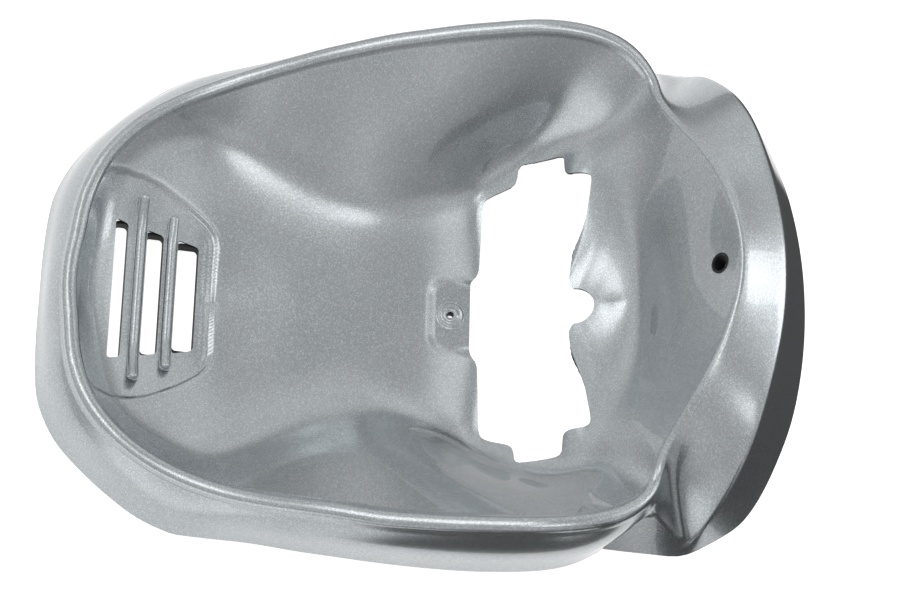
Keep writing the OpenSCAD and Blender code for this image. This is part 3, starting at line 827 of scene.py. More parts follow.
@dataclass
class PanelSkin:
    """The moulded sheet itself: cut, dressed, mirrored and given its wall."""

    surface: PanelSurface
    wall: float = 2.5
    grille: Grille = field(default_factory=Grille)
    seat: ScrewSeat = field(default_factory=ScrewSeat)
    cut_out: CutOut = field(default_factory=CutOut)
    lip_hole: LipHole = field(default_factory=LipHole)
    # The floor ends at this x and height, the small forms are moulded up to the next x and the screw
    # seat from the one after. The flat openings are cut up to basin_end, the lip hole from its height.
    floor_end: float = 150.0
    floor_top: float = 75.0
    form_end: float = 160.0
    seat_start: float = -60.0
    basin_end: float = 190.0
    lip_hole_low: float = 90.0
    # Smaller faces: this near to an edge, and in these zones of x from, x to and y to each side.
    near: float = 5.0
    lip_zone: tuple[float, float, float] = (-173.0, -141.0, 62.0)
    seat_zone: tuple[float, float, float] = (2.0, 48.0, 42.0)
    button_margin: float = 1.5
    detail_cuts: int = 3
    # The cut's edges are drawn onto the outlines in some rounds. The way out of an opening is measured
    # by a short probe, and counts as at least so steep.
    cut_rounds: int = 6
    cut_probe: float = 0.02
    least_lean: float = 0.2
    # The wall this near to a flat opening leans at least a share of its thickness out of view.
    edge_near: float = 0.5
    edge_probe: float = 0.05
    edge_lean: float = 0.15
    sharp_angle: float = math.radians(42)

    def scale(self) -> np.ndarray:
        """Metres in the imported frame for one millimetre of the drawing, along each axis."""
        size = np.array(CAD_BOX[1]) - np.array(CAD_BOX[0])
        return size / np.array(self.surface.curves.nominal)

    def place(self, points: np.ndarray) -> np.ndarray:
        """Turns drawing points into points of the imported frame.

        Args:
            points: rows of x, y, z in millimetres.

        Returns:
            Rows of x, y, z in metres.
        """
        return (points + np.array([self.surface.curves.shift_x, 0, 0])) * self.scale()

    def opening(self, points: np.ndarray) -> np.ndarray:
        """Measures how far points lie from the openings.

        Args:
            points: rows of x, y, z on the sheet.

        Returns:
            Signed distance to the nearest opening, negative where the sheet is cut away.
        """
        plan = points[:, :2]
        far = 99.0
        hole = np.hypot(plan[:, 0] - self.seat.x, plan[:, 1]) - self.seat.hole
        in_basin = np.where(plan[:, 0] > self.basin_end, far, 0.0)
        flat = np.min([self.cut_out.distance(plan), self.grille.slot_distance(plan), hole], axis=0) + in_basin
        low = np.where(points[:, 2] < self.lip_hole_low, far, 0.0)
        return np.minimum(flat, self.lip_hole.distance(points) + low)

    def _on_floor(self, points: np.ndarray) -> np.ndarray:
        """Finds the points on the basin's floor or low on its wall.

        Args:
            points: rows of x, y, z on the sheet.

        Returns:
            True for each such point.
        """
        return (points[:, 0] < self.floor_end) & (points[:, 2] < self.floor_top)

    def wants_detail(self, points: np.ndarray) -> np.ndarray:
        """Where the sheet needs smaller faces.

        Args:
            points: rows of x, y, z on the sheet.

        Returns:
            True where it does.
        """
        plan = points[:, :2]
        small = np.abs(polygon_distance(plan, self.grille.pocket_outline())) < self.near
        for start, end, side in (self.lip_zone, self.seat_zone):
            small |= (plan[:, 0] > start) & (plan[:, 0] < end) & (plan[:, 1] < side)
        return (self._on_floor(points) & small) | (np.abs(self.opening(points)) < self.near)

    def wants_finest(self, points: np.ndarray) -> np.ndarray:
        """Where the sheet needs its smallest faces, which is the button.

        Args:
            points: rows of x, y, z on the sheet.

        Returns:
            True where it does.
        """
        away = np.hypot(points[:, 0] - self.seat.x, points[:, 1])
        return self._on_floor(points) & (away < self.seat.button + self.button_margin)

    def build(self) -> bpy.types.Object:
        """Makes the sheet.

        Returns:
            The finished object, with the front face in the first material and the rest in the second.
        """
        bm = self._grid()
        lower_edge = self._dress(bm)
        self._cut(bm)
        bmesh.ops.mirror(bm, geom=bm.verts[:] + bm.edges[:] + bm.faces[:], axis="Y", merge_dist=SEAM_MM)
        bmesh.ops.remove_doubles(bm, verts=bm.verts[:], dist=SEAM_MM)
        bmesh.ops.recalc_face_normals(bm, faces=bm.faces[:])
        if sum(f.normal.z * f.calc_area() for f in bm.faces) < 0:
            bmesh.ops.reverse_faces(bm, faces=bm.faces[:])
        bm.normal_update()
        self._grow_wall(bm, lower_edge)
        set_points(bm, np.clip(self.place(get_points(bm.verts)), *(np.array(corner) for corner in CAD_BOX)))
        bm.normal_update()
        for f in bm.faces:
            f.smooth = True
        for e in bm.edges:
            e.smooth = len(e.link_faces) == 2 and e.calc_face_angle(0.0) < self.sharp_angle
        return finish_mesh(bm, "panel_skin")

    def _grid(self) -> bmesh.types.BMesh:
        """A flat grid of one half of the sheet, with smaller cells where small forms will be."""
        s = self.surface
        bm = bmesh.new()
        bmesh.ops.create_grid(bm, x_segments=s.columns, y_segments=s.rows, size=1.0)
        for chooser, cuts in ((self.wants_detail, self.detail_cuts), (self.wants_finest, 1)):
            chosen = chooser(np.array([self._on_net(f.calc_center_median()) for f in bm.faces]))
            picked = [f for f, wanted in zip(bm.faces, chosen) if wanted and len(f.verts) == 4]
            edges = list({e for f in picked for e in f.edges})
            bmesh.ops.subdivide_edges(bm, edges=edges, cuts=cuts, use_grid_fill=True)
        return bm

    def _dress(self, bm: bmesh.types.BMesh) -> set[tuple[float, ...]]:
        """Lays the grid onto the panel's surface, with the small forms moulded in.

        Args:
            bm: the flat grid.

        Returns:
            The rounded points of the panel's lower edge.
        """
        points = np.array([self._on_net(v.co) for v in bm.verts])
        row = np.array([v.co.y for v in bm.verts])
        floor = (points[:, 2] < self.floor_top) & (points[:, 0] < self.form_end) & (row > 0)
        plan = points[:, :2]
        raised = points[:, 2] + self.grille.rise(plan)
        raised = np.where(plan[:, 0] > self.seat_start, self.seat.settle(plan, raised), raised)
        points[:, 2] = np.where(floor, raised, points[:, 2])
        set_points(bm, points)
        bm.normal_update()
        return {tuple(np.round(p, 5)) for p in points[row < -1 + 1e-4]}

    def _grow_wall(self, bm: bmesh.types.BMesh, lower_edge: set[tuple[float, ...]]) -> None:
        """Gives the sheet its wall behind the front face.

        Args:
            bm: the whole sheet, its faces to the front.
            lower_edge: rounded points where the wall grows level, so that the edge stands on the table.
        """
        offset = bm.verts.layers.float_vector.new("wall")
        for v in bm.verts:
            n = v.normal.copy()
            if tuple(np.round((v.co.x, abs(v.co.y), v.co.z), 5)) in lower_edge:
                n.z = 0
                n.normalize()
            v[offset] = n * self.wall
        self._lean_edges(bm, offset)
        front = bm.faces[:]
        grown = bmesh.ops.extrude_face_region(bm, geom=front, use_keep_orig=True)
        for v in (g for g in grown["geom"] if isinstance(g, bmesh.types.BMVert)):
            v.co -= v[offset]
        for f in bm.faces:
            f.material_index = Side.RAW.value
        for f in front:
            f.material_index = Side.FRONT.value
        # The extrusion runs backwards, which leaves the closed shell inside out.
        bmesh.ops.reverse_faces(bm, faces=bm.faces[:])
        bm.verts.layers.float_vector.remove(offset)

    def _slope(self, points: np.ndarray, axes: int, probe: float) -> np.ndarray:
        """Which way leads out of the nearest opening.

        Args:
            points: rows of x, y, z.
            axes: how many axes the way may use, counted from x.
            probe: how far off each point the openings are measured.

        Returns:
            One unit row per point.
        """
        steps = np.eye(3)[:axes] * probe
        change = [self.opening(points + step) - self.opening(points - step) for step in steps]
        slope = np.stack(change, 1) / (2 * probe)
        return slope / np.maximum(np.linalg.norm(slope, axis=1), 1e-6)[:, None]

    def _lean_edges(self, bm: bmesh.types.BMesh, offset: bmesh.types.BMLayerItem) -> None:
        """Turns the wall at the flat openings so that their edges do not show from the front.

        Args:
            bm: the whole sheet.
            offset: the layer with the way from the back of the wall to its front.
        """
        edge = [v for v in bm.verts if v.is_boundary]
        points = get_points(edge)
        folded = points.copy()
        folded[:, 1] = np.abs(folded[:, 1])
        slope = self._slope(folded, 2, self.edge_probe)
        slope[:, 1] *= np.where(points[:, 1] < 0, -1, 1)
        close = (np.abs(self.opening(folded)) < self.edge_near) & (points[:, 0] < self.basin_end)
        for v, (x, y), near in zip(edge, slope, close):
            if near:
                back = -v[offset]
                short = self.edge_lean * self.wall - (back.x * x + back.y * y)
                if short > 0:
                    back += Vector((x, y, 0)) * short
                v[offset] = -back

    def _on_net(self, co: Vector) -> np.ndarray:
        """The panel point of a place on the flat starting grid.

        Args:
            co: the place, from -1 to 1 along x and y.

        Returns:
            The point's x, y, z.
        """
        s = self.surface
        return s.point((co[0] + 1) / 2 * s.columns * s.fine, (co[1] + 1) / 2 * s.rows * s.fine)

    def _cut(self, bm: bmesh.types.BMesh) -> None:
        """Takes out the faces in the openings and draws the new edges onto the openings' outlines.

        Args:
            bm: one half of the sheet, laid onto the panel's surface.
        """
        gone = self.opening(np.array([f.calc_center_median() for f in bm.faces])) < 0
        doomed = [f for f, out in zip(bm.faces, gone) if out]
        rim = {v for f in doomed for v in f.verts}
        bmesh.ops.delete(bm, geom=doomed, context="FACES")
        edge = [v for v in rim if v.is_valid and v.link_faces]
        for _ in range(self.cut_rounds):
            points = get_points(edge)
            ways = self._slope(points, 3, self.cut_probe)
            for v, away, way in zip(edge, self.opening(points), ways):
                on_middle = abs(v.co.y) < MERGE_MM
                along = Vector(way) - v.normal * v.normal.dot(Vector(way))
                v.co -= along * (away / max(along.length_squared, self.least_lean))
                if on_middle:
                    v.co.y = 0
        bmesh.ops.delete(bm, geom=[v for v in bm.verts if not v.link_faces], context="VERTS")


def get_points(verts: Iterable[bmesh.types.BMVert]) -> np.ndarray:
    """Reads the places of some vertices.

    Args:
        verts: the vertices.

    Returns:
        One row of x, y, z per vertex.
    """
    return np.array([v.co for v in verts])


def set_points(bm: bmesh.types.BMesh, points: np.ndarray) -> None:
    """Moves every vertex of a bmesh.

    Args:
        bm: the bmesh.
        points: one row of x, y, z per vertex, in the bmesh's own order.
    """
    for v, p in zip(bm.verts, points):
        v.co = p


def turned(profile: list[tuple[float, float]]) -> bmesh.types.BMesh:
    """Turns a closed profile once round the Z axis.

    Args:
        profile: radius and height of each corner.

    Returns:
        A bmesh with the closed ring, its faces outwards.
    """
    bm = bmesh.new()
    corners = [bm.verts.new((radius, 0, height)) for radius, height in profile]
    edges = [bm.edges.new(pair) for pair in zip(corners, corners[1:] + corners[:1])]
    bmesh.ops.spin(
        bm, geom=corners + edges, axis=(0, 0, 1), cent=(0, 0, 0), angle=2 * math.pi, steps=TURN_STEPS,
        use_merge=True,
    )
    bmesh.ops.remove_doubles(bm, verts=bm.verts[:], dist=MERGE_MM)
    bmesh.ops.recalc_face_normals(bm, faces=bm.faces[:])
    return bm


def finish_mesh(bm: bmesh.types.BMesh, name: str) -> bpy.types.Object:
    """Turns a bmesh into an object at the origin.

    Args:
        bm: the finished bmesh, which is freed.
        name: the piece's name.

    Returns:
        The new object, linked to the scene.
    """
    mesh = bpy.data.meshes.new(name)
    bm.to_mesh(mesh)
    bm.free()
    obj = bpy.data.objects.new(name, mesh)
    bpy.context.scene.collection.objects.link(obj)
    return obj


@dataclass
class GrilleCollars:
    """The deep walls behind the grille's slots, in raw plastic."""

    skin: PanelSkin
    # How far the collars start behind the front face, how far they hang below the slope, and the steps
    # of their round corners.
    sink: float = 0.9
    drop: float = 1.2
    corner_steps: int = 5

    def build(self) -> bpy.types.Object:
        """Makes one closed ring behind each slot."""
        g = self.skin.grille
        bm = bmesh.new()
        tilt = Matrix.Rotation(math.radians(g.tilt), 4, "Y")
        for along, width, length in g.slots:
            made = bmesh.ops.create_cube(bm, size=1.0)["verts"]
            depth = g.collar_depth - self.sink
            bmesh.ops.scale(bm, vec=(width, length, depth), verts=made)
            bmesh.ops.translate(bm, vec=(along, 0, -self.sink - depth / 2), verts=made)
            faces = list({f for v in made for f in v.link_faces})
            bmesh.ops.delete(bm, geom=[f for f in faces if abs(f.normal.z) > 0.5], context="FACES_ONLY")
            edges = {e for v in made for e in v.link_edges}
            upright = [e for e in edges if abs(e.verts[0].co.z - e.verts[1].co.z) > depth / 2]
            bmesh.ops.bevel(
                bm, geom=upright, offset=g.corner, offset_type="OFFSET", segments=self.corner_steps,
                profile=0.5, affect="EDGES", material=-1,
            )
            for v in (v for v in bm.verts if v.is_valid and abs(v.co.x - along) < width):
                v.co.y -= math.copysign(g.slant * (v.co.x - along), v.co.y)
        bm.normal_update()
        bmesh.ops.recalc_face_normals(bm, faces=bm.faces[:])
        bm.normal_update()
        normals = {tuple(np.round(v.co, 4)): v.normal.copy() for v in bm.verts}
        inner = bm.faces[:]
        grown = bmesh.ops.extrude_face_region(bm, geom=inner, use_keep_orig=True)
        for v in (v for v in grown["geom"] if isinstance(v, bmesh.types.BMVert)):
            v.co += normals[tuple(np.round(v.co, 4))] * g.collar_wall
        bmesh.ops.transform(bm, matrix=tilt, verts=bm.verts[:])
        bmesh.ops.translate(bm, vec=(g.x, 0, g.z - self.drop), verts=bm.verts[:])
        set_points(bm, self.skin.place(get_points(bm.verts)))
        return finish_mesh(bm, "grille_collars")


@dataclass
class GrilleRibs:
    """The two rounded ribs across the grille, lacquered with the sheet they stand on."""

    skin: PanelSkin
    # How deep the ribs stand in the sheet, and how small their tips close.
    root: float = 3.4
    tip: float = 0.02
    # Over what length to each side of the straight part's end the climb starts.
    ease: float = 8.0
    arch_steps: int = 8
    end_steps: int = 8
    bar_rings: int = 41

    def build(self) -> bpy.types.Object:
        """Makes each rib by drawing its arch along the bar and closing its two round ends."""
        g = self.skin.grille
        bm = bmesh.new()
        for x, flat, full, climb in g.ribs:
            self._bar(bm, x, flat, full, climb)
        bmesh.ops.recalc_face_normals(bm, faces=bm.faces[:])
        tilt = Matrix.Rotation(math.radians(g.tilt), 4, "Y")
        bmesh.ops.transform(bm, matrix=tilt, verts=bm.verts[:])
        bmesh.ops.translate(bm, vec=(g.x, 0, g.z), verts=bm.verts[:])
        set_points(bm, self.skin.place(get_points(bm.verts)))
        for f in bm.faces:
            f.smooth = True
        return finish_mesh(bm, "grille_ribs")

    def _bar(self, bm: bmesh.types.BMesh, x: float, flat: float, full: float, climb: float) -> None:
        """Adds one rib.

        Args:
            bm: the bmesh that takes the rib.
            x: the rib's middle line.
            flat: half the length that runs straight.
            full: half the whole length.
            climb: how far its ends climb with the floor.
        """
        g = self.skin.grille
        r = g.rib_radius
        ends = [full + r * math.sin(math.pi / 2 * k / self.end_steps) for k in range(1, self.end_steps + 1)]
        along = [-y for y in reversed(ends)] + list(np.linspace(-full, full, self.bar_rings)) + ends
        turns = [math.pi * k / self.arch_steps for k in range(self.arch_steps + 1)]
        rings = []
        for y in along:
            over = max(abs(y) - full, 0.0)
            size = max(math.sqrt(max(r * r - over * over, 0.0)), self.tip)
            lift = climb * float(smooth_step(abs(y), flat - self.ease, 2 * full - flat + self.ease)) * 2
            middle = g.rib_rise + lift
            low = middle - g.rib_rise - self.root * size / r
            loop = [(x + size * math.cos(turn), y, middle + size * math.sin(turn)) for turn in turns]
            loop += [(x - size, y, low), (x + size, y, low)]
            rings.append([bm.verts.new(p) for p in loop])
        for a, b in zip(rings, rings[1:]):
            for k in range(len(a)):
                n = (k + 1) % len(a)
                bm.faces.new((a[k], a[n], b[n], b[k]))
        bm.faces.new(rings[0])
        bm.faces.new(list(reversed(rings[-1])))


@dataclass
class LipCollar:
    """The short sleeve behind the hole in the wall, in raw plastic."""

    skin: PanelSkin
    depth: float = 14.0
    wall: float = 1.5
    # How far it starts behind the hole's middle, and how much wider than the hole it is inside.
    sink: float = 1.4
    gap: float = 0.15

    def build(self) -> bpy.types.Object:
        """Makes the sleeve by turning its profile about the hole's axis."""
        hole = self.skin.lip_hole
        inner = hole.radius + self.gap
        outer = inner + self.wall
        bm = turned([(inner, -self.sink), (outer, -self.sink), (outer, -self.depth), (inner, -self.depth)])
        lean = Vector((0, 0, 1)).rotation_difference(Vector(hole.axis())).to_matrix().to_4x4()
        bmesh.ops.transform(bm, matrix=lean, verts=bm.verts[:])
        bmesh.ops.translate(bm, vec=(hole.x, 0, hole.z), verts=bm.verts[:])
        set_points(bm, self.skin.place(get_points(bm.verts)))
        return finish_mesh(bm, "lip_collar")


@dataclass
class ScrewPost:
    """The stub behind the screw seat that stands on the frame."""

    skin: PanelSkin
    radius: float = 7.5
    bevel: float = 0.4
    # How far below the seat's floor it ends.
    sink: float = 1.2

    def build(self) -> bpy.types.Object:
        """Makes the hollow stub by turning its profile."""
        seat = self.skin.seat
        top = seat.floor - self.sink
        bm = turned(
            [(seat.hole, 0), (self.radius - self.bevel, 0), (self.radius, self.bevel), (self.radius, top),
             (seat.hole, top)]
        )
        bmesh.ops.translate(bm, vec=(seat.x, 0, 0), verts=bm.verts[:])
        set_points(bm, self.skin.place(get_points(bm.verts)))
        return finish_mesh(bm, "screw_post")


def linear(colour: str) -> tuple[float, float, float, float]:
    """Turns an sRGB colour into linear light.

    Args:
        colour: a hash and six hex digits.

    Returns:
        Linear red, green and blue, and full alpha.
    """
    parts = [int(colour[k : k + 2], 16) / 255 for k in (1, 3, 5)]
    bright = [p / 12.92 if p <= 0.04045 else ((p + 0.055) / 1.055) ** 2.4 for p in parts]
    return (bright[0], bright[1], bright[2], 1.0)


def add_node(
    tree: bpy.types.NodeTree, kind: str, links: dict | None = None, **settings: object
) -> bpy.types.Node:
    """Adds one shader node.

    Args:
        tree: the material's or world's node tree.
        kind: the node's type name.
        links: input name or index to a socket that feeds it, or to a plain value.
        settings: properties of the node itself.

    Returns:
        The new node.
    """
    node = tree.nodes.new(kind)
    for name, value in settings.items():
        setattr(node, name, value)
    for name, value in (links or {}).items():
        if isinstance(value, bpy.types.NodeSocket):
            tree.links.new(value, node.inputs[name])
        else:
            node.inputs[name].default_value = value
    return node


def bare_tree(owner: bpy.types.Material | bpy.types.World) -> bpy.types.NodeTree:
    """Empties the node tree of a new material or world.

    Args:
        owner: the material or world.

    Returns:
        Its node tree, without nodes.
    """
    owner.use_nodes = True
    owner.node_tree.nodes.clear()
    return owner.node_tree


@dataclass(frozen=True)
class SilverLacquer:
    """Two-coat metallic lacquer on ABS: a sprayed silver base with aluminium flake under clear coat.

    The flake gives a fine sparkle on a soft metal sheen, and the clear coat gives sharp reflections.
    Real flake is too fine to show from here, so it is drawn about ten times as coarse.
    """

    name: str = "silver_metallic_lacquer_on_abs"
    light: str = "#B9BFC2"
    dark: str = "#A2A9AD"
    fleck: str = "#DDE2E4"
    metallic: float = 0.85
    roughness: float = 0.27
    coat: float = 1.0
    coat_ior: float = 1.7
    coat_roughness: float = 0.03
    cloud_mm: float = 60.0
    flake_mm: float = 0.55
    bright_flakes: float = 0.45
    grain_mm: float = 0.44
    grain_strength: float = 0.12
    grain_depth_mm: float = 0.3

    def build(self) -> bpy.types.Material:
        """Makes the material."""
        material = bpy.data.materials.new(self.name)
        tree = bare_tree(material)
        place = add_node(tree, "ShaderNodeTexCoord").outputs["Object"]
        cloud = add_node(
            tree, "ShaderNodeTexNoise", {"Vector": place, "Scale": 1 / (self.cloud_mm * MM), "Detail": 2.0}
        ).outputs["Fac"]
        base = add_node(
            tree, "ShaderNodeMix", {0: cloud, 6: linear(self.dark), 7: linear(self.light)}, data_type="RGBA"
        ).outputs[2]
        flake = add_node(tree, "ShaderNodeTexVoronoi", {"Vector": place, "Scale": 1 / (self.flake_mm * MM)})
        bright = add_node(
            tree,
            "ShaderNodeMapRange",
            {"Value": flake.outputs["Color"], "From Min": 1 - self.bright_flakes, "From Max": 1.0},
        ).outputs["Result"]
        colour = add_node(
            tree, "ShaderNodeMix", {0: bright, 6: base, 7: linear(self.fleck)}, data_type="RGBA"
        ).outputs[2]
        grain = add_node(
            tree, "ShaderNodeTexNoise", {"Vector": place, "Scale": 1 / (self.grain_mm * MM), "Detail": 1.0}
        ).outputs["Fac"]
        bump = add_node(
            tree,
            "ShaderNodeBump",
            {"Height": grain, "Strength": self.grain_strength, "Distance": self.grain_depth_mm * MM},
        )
        shader = add_node(
            tree,
            "ShaderNodeBsdfPrincipled",
            {
                "Base Color": colour,
                "Metallic": self.metallic,
                "Roughness": self.roughness,
                "Coat Weight": self.coat,
                "Coat IOR": self.coat_ior,
                "Coat Roughness": self.coat_roughness,
                "Normal": bump.outputs["Normal"],
            },
        )
        add_node(tree, "ShaderNodeOutputMaterial", {"Surface": shader.outputs["BSDF"]})
        return material


@dataclass(frozen=True)
class RawPlastic:
    """Black ABS as it left the mould: a fine grain with a dull sheen, and no lacquer."""

    name: str = "black_abs_as_moulded"
    dark: str = "#141516"
    light: str = "#26282A"
    roughness: float = 0.55
    grain_mm: float = 0.6
    grain_strength: float = 0.2
    grain_depth_mm: float = 0.2

    def build(self) -> bpy.types.Material:
        """Makes the material."""
        material = bpy.data.materials.new(self.name)
        tree = bare_tree(material)
        place = add_node(tree, "ShaderNodeTexCoord").outputs["Object"]
        grain = add_node(
            tree, "ShaderNodeTexNoise", {"Vector": place, "Scale": 1 / (self.grain_mm * MM), "Detail": 2.0}
        ).outputs["Fac"]
        colour = add_node(
            tree, "ShaderNodeMix", {0: grain, 6: linear(self.dark), 7: linear(self.light)}, data_type="RGBA"
        ).outputs[2]
        bump = add_node(
            tree,
            "ShaderNodeBump",
            {"Height": grain, "Strength": self.grain_strength, "Distance": self.grain_depth_mm * MM},
        )
        shader = add_node(
            tree,
            "ShaderNodeBsdfPrincipled",
            {"Base Color": colour, "Roughness": self.roughness, "Normal": bump.outputs["Normal"]},
        )
        add_node(tree, "ShaderNodeOutputMaterial", {"Surface": shader.outputs["BSDF"]})
        return material


@dataclass
class Studio:
    """The table, the light and the camera.

    The camera's place is in the drawing's millimetres, and everything else is in metres.
    """

    # The camera's place, its right and its up, and its focal length on an image of the given width.
    camera_at: tuple[float, float, float] = (-136.08, -913.04, 2120.32)
    camera_right: tuple[float, float, float] = (0.99597, 0.02239, 0.08688)
    camera_up: tuple[float, float, float] = (-0.05524, 0.91610, 0.39712)
    focal_px: float = 3000.0
    image_width_px: float = 900.0
    sensor_mm: float = 36.0
    far_clip: float = 50.0
    # The table, just under the panel, and what the camera sees of it.
    table_half: float = 1.6
    table_gap: float = 0.0004
    table_paint: str = "#F2F2F2"
    table_white: float = 0.92
    # The bright patch that the table glows with for every ray but the camera's, a painted reflection that the
    # lacquer mirrors: its end behind the hood, the softness of its edges, and its glow and the dim glow of
    # the bare table beside it, a painted dark reflection.
    sheet_right: float = 0.30
    sheet_soft: float = 0.006
    sheet_glow: float = 0.95
    table_glow: float = 0.06
    # Painted shades on the glowing patch in front of the panel, which the lacquer shows as dark reflections:
    # x from and to, y from and to, and the blur at the left.
    shades: Table = ((-0.06, 0.146, -1.6, -0.266, 0.035), (0.12, 0.25, -0.37, -0.266, 0.006))
    # The painted shadow under the panel, cut into the glow: its half axes, its soft edge as a share of them,
    # and the glow left in it.
    under_panel: tuple[float, float, float] = (0.26, 0.19, 10.0)
    under_edge: tuple[float, float] = (0.8, 1.05)
    under_share: float = 0.48
    # The lamp beside the hood.
    lamp_at: tuple[float, float, float] = (0.75, 0.15, 0.42)
    lamp_aim: tuple[float, float, float] = (0.25, 0.02, 0.14)
    lamp_size: tuple[float, float] = (0.28, 0.34)
    lamp_watts: float = 0.5
    # The black card in front of the hood, which puts a painted dark reflection and a shade on the hood.
    card_side: tuple[float, float] = (0.2, 0.26)
    card_front: float = -0.33
    card_top: float = 0.3
    card_colour: str = "#1A1A1A"
    # Soft lights round the room: azimuth, elevation and width in degrees, and strength. Each is full
    # within a share of its width and gone at a multiple of it.
    room_lights: Table = (
        (-100, 84, 7, 1.6), (136, 65, 8, 2.0), (30, 56, 9, 0.35), (150, 40, 10, 0.22), (15, 24, 10, 0.4),
        (0, 62, 20, 0.5), (120, 62, 20, 0.28), (180, 62, 20, 0.2), (240, 62, 20, 0.41),
        (0, 35, 18, 0.22), (45, 35, 18, 0.59), (90, 35, 18, 0.54), (135, 35, 18, 0.18),
        (180, 35, 18, 0.39), (270, 35, 18, 0.4), (315, 35, 18, 0.24),
        (90, 12, 16, 0.25), (135, 12, 16, 0.65), (180, 12, 16, 0.41), (225, 12, 16, 1.26), (315, 12, 16, 0.2),
    )
    light_core: float = 0.35
    light_reach: float = 1.9
    room_colour: str = "#FFFFFF"

    def table(self) -> None:
        """A table that the camera sees as plain white, with the object's soft shadow on it, and that glows
        for every other ray with painted reflections and a painted shadow.
        """
        bm = bmesh.new()
        bmesh.ops.create_grid(bm, x_segments=1, y_segments=1, size=self.table_half)
        bmesh.ops.translate(bm, vec=(0, 0, CAD_BOX[0][2] - self.table_gap), verts=bm.verts[:])
        table = finish_mesh(bm, "table")
        material = bpy.data.materials.new("white_table_glowing_painted_reflections")
        tree = bare_tree(material)
        paint = add_node(tree, "ShaderNodeBsdfDiffuse", {"Color": linear(self.table_paint)}).outputs["BSDF"]
        white = add_node(tree, "ShaderNodeEmission", {"Strength": self.table_white}).outputs["Emission"]
        seen = add_node(tree, "ShaderNodeAddShader", {0: paint, 1: white}).outputs["Shader"]
        # The glow seen by every ray but the camera's is painted light: painted reflections for the lacquer,
        # with painted shades and a painted shadow cut into them.
        glow = self._sheet_glow(tree)
        mirrored = add_node(tree, "ShaderNodeEmission", {"Strength": glow}).outputs["Emission"]
        path = add_node(tree, "ShaderNodeLightPath").outputs["Is Camera Ray"]
        both = add_node(tree, "ShaderNodeMixShader", {0: path, 1: mirrored, 2: seen})
        add_node(tree, "ShaderNodeOutputMaterial", {"Surface": both.outputs["Shader"]})
        table.data.materials.append(material)

    def _sheet_glow(self, tree: bpy.types.NodeTree) -> bpy.types.NodeSocket:
        """How brightly each place on the table glows in the lacquer's painted reflections.

        Args:
            tree: the table's node tree.

        Returns:
            The socket with the glow.
        """
        spot = add_node(tree, "ShaderNodeNewGeometry").outputs["Position"]
        along = add_node(tree, "ShaderNodeSeparateXYZ", {0: spot}).outputs
        x, y, soft = along["X"], along["Y"], self.sheet_soft
        parts = [self._ramp(tree, x, self.sheet_right + soft, self.sheet_right - soft)]
        # A painted shadow under the panel: the glow drops to a share of itself inside the ellipse.
        spread = add_node(tree, "ShaderNodeVectorMath", {0: spot, 1: self.under_panel}, operation="DIVIDE")
        away = add_node(tree, "ShaderNodeVectorMath", {0: spread.outputs[0]}, operation="LENGTH")
        beside = self._ramp(tree, away.outputs["Value"], *self.under_edge)
        beside.node.inputs["To Min"].default_value = self.under_share
        parts.append(beside)
        # Each shade is a painted dark reflection cut out of the glow.
        for left, right, front, back, blur in self.shades:
            sides = [
                self._ramp(tree, x, left - blur, left + blur),
                self._ramp(tree, x, right + soft, right - soft),
                self._ramp(tree, y, front - soft, front + soft),
                self._ramp(tree, y, back + soft, back - soft),
            ]
            shade = self._product(tree, sides)
            clear = add_node(tree, "ShaderNodeMath", {0: 1.0, 1: shade}, operation="SUBTRACT")
            parts.append(clear.outputs[0])
        sheet = self._product(tree, parts)
        return add_node(
            tree, "ShaderNodeMapRange", {"Value": sheet, "To Min": self.table_glow, "To Max": self.sheet_glow}
        ).outputs["Result"]

    @staticmethod
    def _ramp(
        tree: bpy.types.NodeTree, value: bpy.types.NodeSocket, low: float, high: float
    ) -> bpy.types.NodeSocket:
        """A soft step of a value.

        Args:
            tree: the node tree that takes the step.
            value: the socket that is read.
            low: where the step leaves 0.
            high: where it reaches 1, which may lie below low.

        Returns:
            The socket with the step.
        """
        node = add_node(
            tree,
            "ShaderNodeMapRange",
            {"Value": value, "From Min": min(low, high), "From Max": max(low, high)},
            interpolation_type="SMOOTHSTEP",
        )
        if low > high:
            node.inputs["To Min"].default_value, node.inputs["To Max"].default_value = 1.0, 0.0
        return node.outputs["Result"]

    @staticmethod
    def _product(tree: bpy.types.NodeTree, values: list[bpy.types.NodeSocket]) -> bpy.types.NodeSocket:
        """Multiplies values.

        Args:
            tree: the node tree that takes the sums.
            values: the sockets that are read.

        Returns:
            The socket with their product.
        """
        whole = values[0]
        for value in values[1:]:
            whole = add_node(tree, "ShaderNodeMath", {0: whole, 1: value}, operation="MULTIPLY").outputs[0]
        return whole

    def side_light(self) -> None:
        """A soft lamp beside the hood, low enough that the hood hides it from the basin."""
        data = bpy.data.lights.new("hood_lamp", "AREA")
        data.shape = "RECTANGLE"
        data.size, data.size_y = self.lamp_size
        data.energy = self.lamp_watts
        lamp = bpy.data.objects.new("hood_lamp", data)
        lamp.location = self.lamp_at
        aim = Vector(self.lamp_aim) - Vector(self.lamp_at)
        lamp.rotation_euler = aim.to_track_quat("-Z", "Y").to_euler()
        bpy.context.scene.collection.objects.link(lamp)

